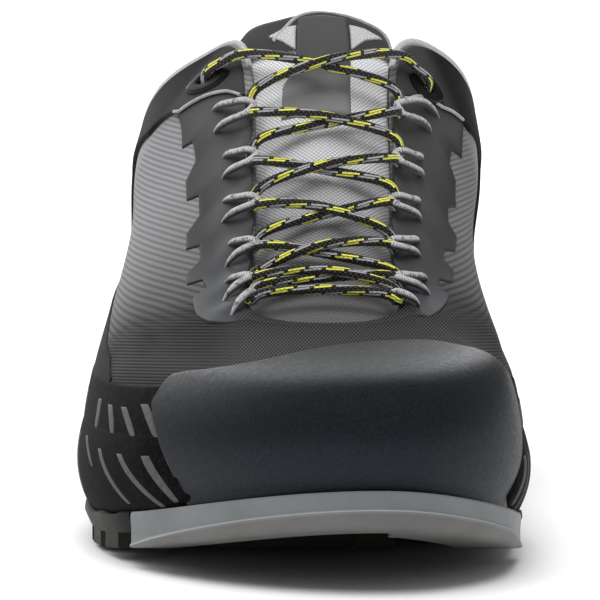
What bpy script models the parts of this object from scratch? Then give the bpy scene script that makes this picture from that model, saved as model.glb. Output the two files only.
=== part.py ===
"""Right hiking shoe, empty, standing on the floor.

Metres, +Z up. The toe points to -Y, the big-toe (medial) side is +X, and the tread stands on z = 0.
"""

import math
from collections import namedtuple

import bmesh
import bpy
import numpy as np

MM = 0.001
MERGE = 0.01 * MM
TINY = 1e-6
SHARP_ANGLE = math.radians(35)

# Driving sizes of the shoe
SHOE_LENGTH = 300 * MM
BALL_WIDTH = 112 * MM
THROAT_HEIGHT = 117 * MM
TOE_SPRING = 18 * MM
HEEL_BEVEL = 4 * MM
ARCH_RISE = 4 * MM
HEEL_STACK = 26 * MM
BALL_STACK = 17 * MM
TOE_STACK = 11.5 * MM

# Walls, layers and the gap that pieces keep
GAP = 0.3 * MM
LAYER_GAP = 0.5 * MM
SOLE_GAP = 0.5 * MM
WALL = 1.8 * MM
OVERLAY = 1.6 * MM
EYESTAY_THICK = 1.0 * MM
LINING_THICK = 4.5 * MM
LINING_ROLL = 2.0 * MM
TONGUE_THICK = 3.5 * MM
TONGUE_UNDER = WALL + 1.0 * MM
INSOLE_THICK = 4.0 * MM
INSOLE_INSET = 1.8 * MM

# Sole
OUTSOLE_THICK = 9 * MM
LUG_DEPTH = 4 * MM
MIDSOLE_WALL = 14 * MM
MIDSOLE_BULGE = 2.6 * MM
MIDSOLE_CUP_LOW = 0.03
FEATHER_TUCK = 3 * MM
FEATHER_RISE = 9 * MM
FOOTBED_DROP = (60 * MM, 200 * MM)
# Share of the heel's and the arch's lift that the outsole's top follows
OUTSOLE_FOLLOW = 0.5

# Cords
LACE_RADIUS = 1.3 * MM
LOOP_RADIUS = 1.15 * MM
LACE_ROUNDNESS = 2
LOOP_ROUNDNESS = 1

# The section table is written for a shoe of these sizes, in millimetres
TABLE_LENGTH = 300
TABLE_WIDTH = 112
TABLE_HEIGHT = 117
LENGTH_UNIT = SHOE_LENGTH / TABLE_LENGTH
WIDTH_UNIT = BALL_WIDTH / TABLE_WIDTH
HEIGHT_UNIT = THROAT_HEIGHT / TABLE_HEIGHT

# Sections round the shoe, from the heel along the lateral side to the toe and back.
# x and a: the widest point in plan (a is the distance from the heel); knee and brow: points higher on
# the wall, as distance inward and height; open: the point on the edge of the collar or throat.
Section = namedtuple("Section", "name x a knee_in knee_z brow_in brow_z open_x open_a open_z")
SECTIONS = [
    Section("heel_back", 1, 3.2, 0, 58, 5.5, 82, 1, 8, 98),
    Section("heel_round_lateral", -22, 10, 0.5, 57, 5.5, 79, -16, 14, 95),
    Section("heel_side_lateral", -36, 34, 0.5, 56, 1.5, 73, -33, 38, 87),
    Section("ankle_lateral", -39.5, 68, 0, 57, -2.5, 73, -41.5, 71, 87),
    Section("collar_lateral", -41, 96, -0.5, 60, -2.5, 82, -37, 96, 104),
    Section("corner_lateral", -43, 116, -0.5, 62, 0, 86, -23, 111, 115.5),
    Section("instep_lateral", -46, 138, 0, 63, 5.5, 85, -14.5, 121, 116),
    Section("waist_lateral", -50, 162, 1.2, 56, 14.5, 74, -12.5, 147, 92.5),
    Section("ball_lateral", -54, 192, 4.6, 50, 18, 60, -12.5, 172, 72),
    Section("little_toe", -50, 226, 4.5, 45.5, 17, 53.2, -14, 191, 61.8),
    Section("toe_side_lateral", -36, 260, 5, 45.5, 21, 51, -12, 203, 58.2),
    Section("toe_front_lateral", -10, 288, 5.5, 46.5, 29, 51.6, -4, 209.5, 56.8),
    Section("toe_tip", 20, 297.5, 5.5, 48, 32, 52.9, 6, 211.5, 56.6),
    Section("toe_front_medial", 39, 287, 5, 48.5, 28, 53.5, 16, 209.5, 56.8),
    Section("toe_side_medial", 49.5, 268, 4.5, 48, 19.5, 53.8, 23, 203, 58.2),
    Section("big_toe", 53, 244, 4.5, 48, 16, 54.4, 24.5, 191, 61.8),
    Section("ball_medial", 53.5, 210, 3, 49.5, 13, 58.5, 22.5, 172, 72),
    Section("waist_medial", 48, 174, -0.3, 55, 8.5, 70.5, 23, 147, 92.5),
    Section("arch_medial", 42.5, 144, -2.6, 61, 0.2, 81, 24, 121, 116),
    Section("corner_medial", 40, 118, -3, 62, -5, 85, 34, 111, 116.3),
    Section("collar_medial", 39.5, 98, -2.5, 60, -6, 82, 43, 96, 104),
    Section("ankle_medial", 38.5, 70, 0, 57, -4.5, 73, 43.5, 71, 87),
    Section("heel_side_medial", 36, 36, 0.5, 56, 1, 73, 35, 38, 87),
    Section("heel_round_medial", 23, 10.5, 0.5, 57, 5.5, 79, 18, 14, 95),
]
SECTION_COUNT = len(SECTIONS)
STEPS = 3
COLUMNS = SECTION_COUNT * STEPS
UPPER_ROWS = 7
ROW_MARGIN = 0.008
KNEE_SLIDE = 0.2
BROW_SLIDE = 0.6
# Steps for directions on the upper, and samples for lengths along it
PLACE_STEP = 0.02
T_STEP = 0.01
HALVINGS = 30
WALL_SAMPLES = 61

# Flat spots of the tread, as distance from the heel
HEEL_FLAT = (14 * MM, 70 * MM)
BALL_FLAT = (160 * MM, 190 * MM)

# Sides of the sole from bottom to top: distance out from the outline at a share of the height
SidePoint = namedtuple("SidePoint", "share out")
OUTSOLE_SIDE = [SidePoint(0.0, -0.6 * MM), SidePoint(0.55, 0.6 * MM), SidePoint(1.0, 0.2 * MM)]
MIDSOLE_SIDE = [SidePoint(0.0, -1.2 * MM), SidePoint(0.28, 1.2 * MM), SidePoint(0.62, MIDSOLE_BULGE)]

# Lugs: rows along the edge by section place, and chevrons down the middle by distance from the heel
EdgeRow = namedtuple("EdgeRow", "first pitch count")
EDGE_ROWS = [EdgeRow(0.45, 0.62, 4), EdgeRow(7.0, 0.5, 5), EdgeRow(16.0, 0.5, 4), EdgeRow(21.2, 0.62, 4)]
EDGE_LUG_WIDTH = 0.33
EDGE_LUG_DEPTH = 13 * MM
EDGE_LUG_INSET = 0.8 * MM
LUG_ROOT = 1 * MM
ChevronRow = namedtuple("ChevronRow", "first pitch count half_width point")
CHEVRON_ROWS = [ChevronRow(32 * MM, 14 * MM, 3, 15 * MM, -4 * MM),
                ChevronRow(162 * MM, 16 * MM, 5, 22 * MM, 6 * MM),
                ChevronRow(242 * MM, 14 * MM, 2, 12 * MM, 4 * MM)]
CHEVRON_LENGTH = 8 * MM
SOLE_MIDDLE = 0.8 * MM

# Toe cap: the slanted ends run from the sole to the top corner, and the top edge is given as a
# distance along the wall from the feather edge, in millimetres
CapEnd = namedtuple("CapEnd", "foot_a foot_z top_a top_z")
CAP_LATERAL = CapEnd(268 * MM, 18 * MM, 247 * MM, 46 * MM)
CAP_MEDIAL = CapEnd(264 * MM, 18 * MM, 231 * MM, 47 * MM)
CAP_TOP_REACH = [(8.4, 22), (9.2, 25), (10.0, 29), (10.3, 33.5), (10.7, 38.5), (11.1, 46.5), (11.6, 60),
                 (12.1, 69), (12.6, 70), (13.0, 65), (13.3, 54), (13.6, 43.5), (14.1, 34.5), (14.8, 31),
                 (15.6, 28), (16.6, 24)]
CAP_PLACES = (8.6, 16.4)
CAP_SPLIT_X = 12 * MM
CAP_ROOM_ROWS = 5
CAP_ROOM_INSET = 1 * MM
CAP_ROOM_REACH = 20 * MM

RAND_HEIGHT = 11 * MM
RAND_LATERAL_END = 10.4
RAND_MEDIAL_END = 8.6

# Collar panel and counter edges: section place and width in millimetres from the opening
COLLAR_BAND = [(0.0, 24), (1.0, 22), (3.0, 17), (4.0, 21), (5.0, 28), (5.75, 24), (6.25, 8), (6.5, 1.5)]
COLLAR_END = 6.45
COLLAR_TOP = 0.995
COUNTER_END = 8.3
COUNTER_SLOPE_START = 3.4
COUNTER_TIP = 0.03

LINING_DEPTH = 22 * MM
LINING_END = 5.6

# Eyestay: depth in millimetres from the throat edge, with stepped teeth along its outer edge
EYESTAY_DEPTH = [(5.7, 25.5), (6.3, 26.5), (7.0, 23), (7.8, 20.5), (8.4, 19.5), (9.4, 15), (12.0, 13)]
EYESTAY_START = 5.75
EYESTAY_TURN = (COLLAR_END + 0.02, COLLAR_END + 0.04)
TOOTH_FIRST = 6.25
TOOTH_PITCH = 0.68
TOOTH_COUNT = 4
TOOTH_NOTCH = 3
TOOTH_SHAPE = [(0.0, 0), (0.03, 1), (0.4, 1), (0.62, 0)]

# Tongue: rungs across the throat, with the width that runs under its edges and the height of the crown
TongueRung = namedtuple("TongueRung", "place flap crown")
TONGUE_RUNGS = [TongueRung(10.6, 9, 0.5), TongueRung(10.0, 9, 2.0), TongueRung(9.3, 9, 3.5),
                TongueRung(8.6, 9, 4.5), TongueRung(8.0, 9, 5.0), TongueRung(7.5, 8, 5.0),
                TongueRung(7.0, 7, 5.0), TongueRung(6.6, 5.5, 5.0), TongueRung(6.25, 4.5, 5.0)]
TONGUE_SHARES = (0.0, 0.18, 0.5, 0.82, 1.0)
TONGUE_TOE_PLACES = (10.9, 11.2, 11.6, 12.0, 12.4, 12.8, 13.1)
TONGUE_TOE_DEPTH = 9 * MM
# Rows above the throat: reach along the tongue, share of the width, and height of the rounded top
TongueTop = namedtuple("TongueTop", "reach width arch")
TONGUE_TOPS = [TongueTop(5, 1.03, 0.5), TongueTop(9.5, 1.03, 2.5), TongueTop(13.5, 0.98, 4.5)]
TONGUE_ARCH = (0, 0.3, 0.7, 1.0, 0.7, 0.3, 0)

# Toe zone of the sole: columns it spans and its depth under the toe
ZONE_COLUMNS = (29, 46)
ZONE_BAND = 8 * MM
ZONE_PAD = 15 * MM
ZONE_BEVEL = 3.4 * MM
ZONE_BEVEL_IN = 3 * MM
ZONE_FOOT_INSET = 0.4 * MM
ZONE_CREASE_OUT = 0.6 * MM
ZONE_CREASE_RISE = 0.8 * MM
ZONE_RIM_OUT = 0.8 * MM
ZONE_END_MARGIN = 0.03
PAD_FIRST_COLUMN = 37

# Lace: section places of the loops at the throat edge, from the toe to the collar
LoopSet = namedtuple("LoopSet", "place count")
LOOP_SETS = [LoopSet(9.72, 1), LoopSet(8.98, 2), LoopSet(8.2, 2), LoopSet(7.6, 2),
             LoopSet(7.13, 2), LoopSet(6.7, 2)]
LOOP_REACH = 11 * MM
LOOP_SPLIT = 0.085
LOOP_SLANTS_LATERAL = (-0.2, -0.06)
LOOP_SLANTS_MEDIAL = (0.36, 0.22)
# A loop's cord: share of its reach, and height above the eyestay in millimetres
LOOP_RISE = [(1.0, 0.1), (0.5, 0.9)]
LOOP_OVERHANG = 1.5 * MM
LOOP_EDGE_LIFT = 0.6 * MM
THROAT_EDGE = 3 * MM
LACE_START = 1.4 * MM
LACE_FIRST_SPLIT = 0.2
LACE_BOW = 1.4 * MM
LACE_LAP = 1.8 * LACE_RADIUS
LACE_STEPS = 2
# The top strands: section place of their crossing, and their ways over the collar panel as place and depth
TOP_CROSSING_PLACE = 6.45
TOP_CROSSING_RISE = 9.5 * MM
TOP_WAYS = [(6.15, 0.0), (5.98, 6.5 * MM)]
EYELET_PLACE = 5.8
EYELET_DEPTH = 13.5 * MM
EYELET_HALF_LENGTH = 6 * MM
EYELET_HALF_WIDTH = 3 * MM
EYELET_HOLE = 0.5
EYELET_THICK = 0.8 * MM
EYELET_TILT = math.radians(35)
EYELET_CORNERS = 10
EYELET_STEP = 0.05

# Slanted ribs on the side of the midsole
RIB_PLACES = [3.4 + 0.5 * k for k in range(11)]
RIB_SHARES = (0.2, 0.62, 0.84)
RIB_SLANT = 0.35
RIB_HALF_WIDTH = 0.055
RIB_RISE = 0.6 * MM
RIB_SINK = 0.8 * MM


def smooth_step(value):
    value = min(max(value, 0.0), 1.0)
    return value * value * (3 - 2 * value)


def toe_lift(a):
    start = BALL_FLAT[1]
    return TOE_SPRING * (max(a - start, 0.0) / (SHOE_LENGTH - start)) ** 2


def heel_lift(a):
    return HEEL_BEVEL * (max(HEEL_FLAT[0] - a, 0.0) / HEEL_FLAT[0]) ** 2


def arch_lift(a):
    share = (a - HEEL_FLAT[1]) / (BALL_FLAT[0] - HEEL_FLAT[1])
    if share <= 0 or share >= 1:
        return 0.0
    return ARCH_RISE * math.sin(math.pi * share) ** 2


def tread_z(a):
    """Height of the lugs' faces above the floor."""
    return toe_lift(a) + heel_lift(a) + arch_lift(a)


def outsole_top(a):
    return OUTSOLE_THICK + toe_lift(a) + OUTSOLE_FOLLOW * (heel_lift(a) + arch_lift(a))


def footbed_z(a):
    """Floor of the midsole's cup, under the insole."""
    start, end = FOOTBED_DROP
    heel_to_ball = smooth_step((a - start) / (end - start))
    ball_to_toe = smooth_step((a - end) / (SHOE_LENGTH - end))
    stack = HEEL_STACK + (BALL_STACK - HEEL_STACK) * heel_to_ball
    stack += (TOE_STACK - BALL_STACK) * ball_to_toe
    return stack + toe_lift(a)


def along(y):
    """Distance from the heel of a point at y."""
    return SHOE_LENGTH / 2 - y


def section_values():
    rows = []
    for row in SECTIONS:
        rows.append([row.x * WIDTH_UNIT, SHOE_LENGTH / 2 - row.a * LENGTH_UNIT,
                     row.knee_in * WIDTH_UNIT, row.knee_z * HEIGHT_UNIT,
                     row.brow_in * WIDTH_UNIT, row.brow_z * HEIGHT_UNIT,
                     row.open_x * WIDTH_UNIT, SHOE_LENGTH / 2 - row.open_a * LENGTH_UNIT,
                     row.open_z * HEIGHT_UNIT])
    return np.array(rows)


def ring_curvature(values):
    """Second derivatives of the closed cubic spline through the rows."""
    count = len(values)
    system = 4 * np.eye(count) + np.roll(np.eye(count), 1, 0) + np.roll(np.eye(count), -1, 0)
    bend = np.roll(values, -1, 0) - 2 * values + np.roll(values, 1, 0)
    return np.linalg.solve(system, 6 * bend)


VALUES = section_values()
CURVATURE = ring_curvature(VALUES)


def at_place(place):
    """The table's values at a place round the shoe, in sections from the heel."""
    low = math.floor(place)
    part = place - low
    i = low % SECTION_COUNT
    j = (i + 1) % SECTION_COUNT
    rest = 1 - part
    line = rest * VALUES[i] + part * VALUES[j]
    curve = (rest ** 3 - rest) * CURVATURE[i] + (part ** 3 - part) * CURVATURE[j]
    return line + curve / 6


def outline_frame(place):
    """Widest point in plan, with its outward and forward directions."""
    here = at_place(place)[:2]
    step = at_place(place + PLACE_STEP)[:2] - at_place(place - PLACE_STEP)[:2]
    forward = step / np.linalg.norm(step)
    outward = np.array([forward[1], -forward[0]])
    return here, outward, forward


def controls(place):
    """Feather edge, widest point, knee, brow and opening of the section at a place."""
    row = at_place(place)
    wide, outward, forward = outline_frame(place)
    slide = np.dot(row[6:8] - wide, forward) * forward
    feather = wide - FEATHER_TUCK * outward
    feather_z = footbed_z(along(feather[1])) + GAP
    knee = wide - row[2] * outward + KNEE_SLIDE * slide
    brow = wide - row[4] * outward + BROW_SLIDE * slide
    return np.array([[*feather, feather_z], [*wide, feather_z + FEATHER_RISE], [*knee, row[3]],
                     [*brow, row[5]], [*row[6:8], row[8]]])


class Meridian:
    """Natural cubic spline through one section's five control points."""

    def __init__(self, place):
        self.points = controls(place)
        steps = np.linalg.norm(np.diff(self.points, axis=0), axis=1) ** 0.5
        self.knots = np.concatenate([[0], np.cumsum(steps)]) / np.sum(steps)
        spans = np.diff(self.knots)
        slopes = np.diff(self.points, axis=0) / spans[:, None]
        system = np.diag(2 * (spans[:-1] + spans[1:]))
        system += np.diag(spans[1:-1], 1) + np.diag(spans[1:-1], -1)
        inner = np.linalg.solve(system, 6 * np.diff(slopes, axis=0))
        self.bends = np.vstack([np.zeros(3), inner, np.zeros(3)])

    def at(self, t):
        i = int(np.clip(np.searchsorted(self.knots, t) - 1, 0, len(self.knots) - 2))
        span = self.knots[i + 1] - self.knots[i]
        part = (t - self.knots[i]) / span
        rest = 1 - part
        line = rest * self.points[i] + part * self.points[i + 1]
        curve = (rest ** 3 - rest) * self.bends[i] + (part ** 3 - part) * self.bends[i + 1]
        return line + curve * span ** 2 / 6


MERIDIANS = {}


def meridian(place):
    key = round(place % SECTION_COUNT, 6)
    if key not in MERIDIANS:
        MERIDIANS[key] = Meridian(key)
    return MERIDIANS[key]


def skin(place, t):
    """Point of the upper's outer face: t runs from the feather edge (0) to the opening (1)."""
    return meridian(place).at(t)


def skin_normal(place, t):
    low = max(t - T_STEP, 0.0)
    high = min(t + T_STEP, 1.0)
    round_step = skin(place + PLACE_STEP, t) - skin(place - PLACE_STEP, t)
    up_step = skin(place, high) - skin(place, low)
    normal = np.cross(round_step, up_step)
    return normal / np.linalg.norm(normal)


KNOTS = {}


def knot(column, row):
    """Point and outward normal at a corner of the upper's facets."""
    key = (column % COLUMNS, row)
    if key not in KNOTS:
        place, t = column / STEPS, row / UPPER_ROWS
        KNOTS[key] = (skin(place, t), skin_normal(place, t))
    return KNOTS[key]


def shell(place, t, offset):
    """Point at an offset from the upper's facets, so that layers stay parallel to them."""
    column, row = place * STEPS, t * UPPER_ROWS
    low_column = math.floor(column + TINY)
    low_row = min(math.floor(row + TINY), UPPER_ROWS - 1)
    across, up = column - low_column, row - low_row
    point = np.zeros(3)
    for c, share in ((0, 1 - across), (1, across)):
        for r, part in ((0, 1 - up), (1, up)):
            corner, normal = knot(low_column + c, low_row + r)
            point = point + share * part * (corner + offset * normal)
    return point


def t_at_height(place, height):
    low, high = 0.0, 1.0
    for _ in range(HALVINGS):
        middle = (low + high) / 2
        if skin(place, middle)[2] < height:
            low = middle
        else:
            high = middle
    return low


def wall_lengths(place):
    """Steps of t up the wall, with the distance walked from the feather edge to each."""
    steps = np.linspace(0, 1, WALL_SAMPLES)
    points = np.array([skin(place, t) for t in steps])
    walked = np.cumsum(np.linalg.norm(np.diff(points, axis=0), axis=1))
    return steps, np.concatenate([[0], walked])


def t_at_reach(place, reach):
    """Parameter at a distance along the wall from the feather edge."""
    steps, walked = wall_lengths(place)
    return float(np.interp(reach, walked, steps))


def t_at_depth(place, depth):
    """Parameter at a distance along the wall from the opening."""
    steps, walked = wall_lengths(place)
    return float(np.interp(walked[-1] - depth, walked, steps))


def table_at(table, place):
    return float(np.interp(place, [row[0] for row in table], [row[1] for row in table]))


def smooth_table_at(table, place):
    """Cubic curve through a table's rows, with the slope at each row taken from its neighbours."""
    spots = np.array([row[0] for row in table])
    values = np.array([row[1] for row in table])
    slopes = np.gradient(values, spots)
    i = int(np.clip(np.searchsorted(spots, place) - 1, 0, len(spots) - 2))
    span = spots[i + 1] - spots[i]
    part = min(max((place - spots[i]) / span, 0.0), 1.0)
    rest = 1 - part
    ends = values[i] * rest ** 2 * (1 + 2 * part) + values[i + 1] * part ** 2 * (1 + 2 * rest)
    bend = slopes[i] * rest ** 2 * part - slopes[i + 1] * part ** 2 * rest
    return float(ends + bend * span)


def places_between(first, last, extra=()):
    """Column places from first to last, on the upper's own columns, with extra ones between."""
    columns = range(math.ceil(first * STEPS - TINY), math.floor(last * STEPS + TINY) + 1)
    places = {round(column / STEPS, 6) for column in columns}
    places |= {round(first, 6), round(last, 6)}
    places |= {round(place, 6) for place in extra}
    return sorted(places)


def make_material(name, colour, roughness):
    material = bpy.data.materials.new(name)
    material.use_nodes = True
    shader = material.node_tree.nodes["Principled BSDF"]
    shader.inputs["Base Color"].default_value = (*colour, 1)
    shader.inputs["Roughness"].default_value = roughness
    shader.inputs["Metallic"].default_value = 0
    return material


def add_object(name, data, collection, material=None):
    item = bpy.data.objects.new(name, data)
    collection.objects.link(item)
    if material:
        data.materials.append(material)
    return item


def add_cutter(name, data, collection):
    item = add_object(name, data, collection)
    item.hide_render = True
    item.display_type = "WIRE"
    return item


def mesh_of(name, points, faces, closed=False):
    """Mesh from lofted points, with equal ones merged; a closed one gets its faces turned outward."""
    mesh = bpy.data.meshes.new(name)
    mesh.from_pydata([tuple(point) for point in points], [], faces)
    form = bmesh.new()
    form.from_mesh(mesh)
    bmesh.ops.remove_doubles(form, verts=form.verts, dist=MERGE)
    if closed:
        bmesh.ops.recalc_face_normals(form, faces=form.faces)
    form.to_mesh(mesh)
    form.free()
    mesh.shade_smooth()
    mesh.set_sharp_from_angle(angle=SHARP_ANGLE)
    return mesh


def grid_faces(columns, rows, wrap):
    faces = []
    for c in range(columns if wrap else columns - 1):
        for r in range(rows - 1):
            after = (c + 1) % columns
            faces.append((c * rows + r, after * rows + r, after * rows + r + 1, c * rows + r + 1))
    return faces


def ladder_faces(ring, upward):
    """Faces across a closed ring, from the lateral to the medial point of each pair."""
    count = len(ring)
    faces = [(ring[0], ring[1], ring[count - 1])]
    for j in range(1, count // 2 - 1):
        faces.append((ring[j], ring[j + 1], ring[count - j - 1], ring[count - j]))
    faces.append((ring[count // 2 - 1], ring[count // 2], ring[count // 2 + 1]))
    return faces if upward else [tuple(reversed(face)) for face in faces]


def add_solidify(item, thickness, outward, even=True):
    layer = item.modifiers.new("wall", "SOLIDIFY")
    layer.thickness = thickness
    layer.offset = 1 if outward else -1
    layer.use_even_offset = even


def add_boolean(item, other, operation, solver="EXACT"):
    cut = item.modifiers.new(operation.lower(), "BOOLEAN")
    cut.operation = operation
    cut.solver = solver
    cut.object = other


def facet_rows(bottom, top):
    """The upper's own rows, as t, held between a bottom and a top edge."""
    rows = []
    for r in range(UPPER_ROWS + 1):
        t = r / UPPER_ROWS
        if t < bottom + ROW_MARGIN:
            t = bottom
        if t > top - ROW_MARGIN:
            t = top
        rows.append(t)
    rows[0], rows[-1] = bottom, top
    return rows


def patch_mesh(name, places, low, high, offset, wrap=False):
    """Open surface over the upper's facets between two edges, each given as t for a place."""
    points = []
    for place in places:
        points += [shell(place, t, offset) for t in facet_rows(low(place), high(place))]
    return mesh_of(name, points, grid_faces(len(places), UPPER_ROWS + 1, wrap))


def prism_mesh(name, plan, bottom, top):
    """Upright prism on a plan outline, with its end heights given by functions of the plan point."""
    count = len(plan)
    points = [(x, y, bottom(x, y)) for x, y in plan] + [(x, y, top(x, y)) for x, y in plan]
    faces = [tuple(range(count - 1, -1, -1)), tuple(range(count, 2 * count))]
    for i in range(count):
        j = (i + 1) % count
        faces.append((i, j, count + j, count + i))
    return mesh_of(name, points, faces, closed=True)


def side_prism_mesh(name, profile, x_low, x_high):
    """Prism across the shoe on a side profile of (distance from heel, height) points."""
    count = len(profile)
    points = [(x_low, SHOE_LENGTH / 2 - a, z) for a, z in profile]
    points += [(x_high, SHOE_LENGTH / 2 - a, z) for a, z in profile]
    faces = [tuple(range(count)), tuple(range(2 * count - 1, count - 1, -1))]
    for i in range(count):
        j = (i + 1) % count
        faces.append((j, i, count + i, count + j))
    return mesh_of(name, points, faces, closed=True)


def join_meshes(name, meshes):
    form = bmesh.new()
    for mesh in meshes:
        form.from_mesh(mesh)
        bpy.data.meshes.remove(mesh)
    joined = bpy.data.meshes.new(name)
    form.to_mesh(joined)
    form.free()
    return joined


# Sole


def outline_point(place, out):
    here, outward, _ = outline_frame(place)
    return here + out * outward


def column_places():
    return [column / STEPS for column in range(COLUMNS)]


def ring_solid_mesh(name, chains):
    """Closed solid from one chain of points per column, with ladders over its first and last rings."""
    rows = len(chains[0])
    points = [point for chain in chains for point in chain]
    faces = grid_faces(len(chains), rows, wrap=True)
    faces += ladder_faces([c * rows for c in range(len(chains))], upward=False)
    faces += ladder_faces([c * rows + rows - 1 for c in range(len(chains))], upward=True)
    return mesh_of(name, points, faces, closed=True)


def outsole_mesh():
    chains = []
    for place in column_places():
        chain = []
        for share, out in OUTSOLE_SIDE:
            x, y = outline_point(place, out)
            low = tread_z(along(y)) + LUG_DEPTH
            chain.append((x, y, low + (outsole_top(along(y)) - low) * share))
        chains.append(chain)
    return ring_solid_mesh("outsole", chains)


def lug_mesh(plan):
    def bottom(_, y):
        return tread_z(along(y))

    def top(_, y):
        return tread_z(along(y)) + LUG_DEPTH + LUG_ROOT

    return prism_mesh("lug", plan, bottom, top)


def edge_lug_plan(place):
    corners = []
    for shift, inset in ((0, EDGE_LUG_INSET), (EDGE_LUG_WIDTH, EDGE_LUG_INSET),
                         (EDGE_LUG_WIDTH, EDGE_LUG_DEPTH), (0, EDGE_LUG_DEPTH)):
        corners.append(tuple(outline_point(place + shift, -inset)))
    return corners


def chevron_plan(a, half_width, point):
    """Six-cornered lug across the middle, pointing forward where point is positive."""
    x = SOLE_MIDDLE
    y = SHOE_LENGTH / 2 - a
    back = y + CHEVRON_LENGTH
    return [(x - half_width, y), (x, y - point), (x + half_width, y),
            (x + half_width, back), (x, back - point), (x - half_width, back)]


def lug_meshes():
    lugs = []
    for row in EDGE_ROWS:
        for k in range(row.count):
            lugs.append(lug_mesh(edge_lug_plan(row.first + k * row.pitch)))
    for row in CHEVRON_ROWS:
        for k in range(row.count):
            lugs.append(lug_mesh(chevron_plan(row.first + k * row.pitch, row.half_width, row.point)))
    return lugs


def zone_depth(column):
    return ZONE_PAD if column >= PAD_FIRST_COLUMN else ZONE_BAND


def zone_ring(column):
    """Section of the toe zone at a column: inner foot, outer foot, crease, rim and inner top."""
    place = column / STEPS
    first, last = ZONE_COLUMNS
    bevel = ZONE_BEVEL * math.sin(math.pi * (column - first) / (last - first))
    inner = outline_point(place, -zone_depth(column))
    foot = outline_point(place, -ZONE_BEVEL_IN * bevel / ZONE_BEVEL - ZONE_FOOT_INSET)
    crease = outline_point(place, ZONE_CREASE_OUT)
    rim = outline_point(place, ZONE_RIM_OUT)
    return [(*inner, tread_z(along(inner[1]))), (*foot, tread_z(along(foot[1]))),
            (*crease, tread_z(along(crease[1])) + bevel + ZONE_CREASE_RISE),
            (*rim, outsole_top(along(rim[1]))), (*inner, outsole_top(along(inner[1])))]


def toe_zone_mesh():
    points = []
    columns = list(range(ZONE_COLUMNS[0], ZONE_COLUMNS[1] + 1))
    for column in columns:
        points += zone_ring(column)
    size = 5
    faces = []
    for c in range(len(columns) - 1):
        for k in range(size):
            j = (k + 1) % size
            faces.append((c * size + k, (c + 1) * size + k, (c + 1) * size + j, c * size + j))
    last = (len(columns) - 1) * size
    faces.append(tuple(range(size - 1, -1, -1)))
    faces.append(tuple(range(last, last + size)))
    return mesh_of("toe_zone", points, faces, closed=True)


def zone_cutter_mesh():
    """Room for the toe zone in the outsole, one gap larger than the zone."""
    first, last = ZONE_COLUMNS
    inner = []
    outer = []
    for column in range(first, last + 1):
        place = column / STEPS
        if column == first:
            place -= ZONE_END_MARGIN
        if column == last:
            place += ZONE_END_MARGIN
        inner.append(tuple(outline_point(place, -zone_depth(column) - GAP)))
        outer.append(tuple(outline_point(place, CAP_ROOM_REACH)))
    plan = inner + outer[::-1]
    low, high = -20 * MM, 60 * MM
    return prism_mesh("toe_zone_room", plan, lambda x, y: low, lambda x, y: high)


def midsole_top(place):
    return footbed_z(along(outline_point(place, 0)[1])) + MIDSOLE_WALL


def midsole_side(place, share, out):
    """Point beside the midsole's wall, at a share of its height and a distance out from the outline."""
    x, y = outline_point(place, out)
    low = outsole_top(along(y)) + SOLE_GAP
    return np.array([x, y, low + (midsole_top(place) - low) * share])


def rib_mesh(place):
    """Raised bar on the midsole's wall that leans forward at its foot."""
    forward = 1 if place < SECTION_COUNT / 2 else -1
    points = []
    for share in RIB_SHARES:
        middle = place + forward * RIB_SLANT * (0.5 - share)
        wall = table_at(MIDSOLE_SIDE, share)
        for half, out in ((-1, -RIB_SINK), (1, -RIB_SINK), (1, RIB_RISE), (-1, RIB_RISE)):
            points.append(midsole_side(middle + half * RIB_HALF_WIDTH, share, wall + out))
    size = 4
    last = (len(RIB_SHARES) - 1) * size
    faces = [(3, 2, 1, 0), tuple(range(last, last + size))]
    for r in range(len(RIB_SHARES) - 1):
        for k in range(size):
            j = (k + 1) % size
            faces.append((r * size + k, r * size + j, (r + 1) * size + j, (r + 1) * size + k))
    return mesh_of("rib", points, faces, closed=True)


def midsole_mesh():
    chains = []
    for place in column_places():
        t_top = t_at_height(place, midsole_top(place))
        chain = [tuple(midsole_side(place, share, out)) for share, out in MIDSOLE_SIDE]
        chain.append(tuple(shell(place, t_top, LAYER_GAP + OVERLAY)))
        chain += [tuple(shell(place, t, GAP)) for t in reversed(facet_rows(MIDSOLE_CUP_LOW, t_top))]
        x, y, _ = shell(place, 0.0, GAP)
        chain.append((x, y, footbed_z(along(y))))
        chains.append(chain)
    return ring_solid_mesh("midsole", chains)


def insole_mesh():
    chains = []
    for place in column_places():
        chain = []
        for height in (SOLE_GAP, SOLE_GAP + INSOLE_THICK):
            t = t_at_height(place, skin(place, 0)[2] + height)
            x, y, _ = shell(place, t, -WALL - INSOLE_INSET)
            chain.append((x, y, footbed_z(along(y)) + height))
        chains.append(chain)
    return ring_solid_mesh("insole", chains)


# Upper and the layers on it


def upper_mesh():
    return patch_mesh("upper", column_places(), lambda p: 0.0, lambda p: 1.0, 0.0, wrap=True)


def cap_end_profile(end, shift, forward):
    """Side profile of all that lies in front of a toe cap end, or behind it."""
    slope = (end.top_a - end.foot_a) / (end.top_z - end.foot_z)
    low_z, high_z = -10 * MM, 120 * MM
    low_a = end.foot_a + slope * (low_z - end.foot_z) + shift
    high_a = end.foot_a + slope * (high_z - end.foot_z) + shift
    far = 340 * MM if forward else -40 * MM
    return [(low_a, low_z), (far, low_z), (far, high_z), (high_a, high_z)]


def cap_end_cutters(name, shift, forward, collection):
    lateral = side_prism_mesh(name + "_lateral", cap_end_profile(CAP_LATERAL, shift, forward),
                              -BALL_WIDTH, CAP_SPLIT_X)
    medial = side_prism_mesh(name + "_medial", cap_end_profile(CAP_MEDIAL, shift, forward),
                             CAP_SPLIT_X, BALL_WIDTH)
    return [add_cutter(mesh.name, mesh, collection) for mesh in (lateral, medial)]


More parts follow.
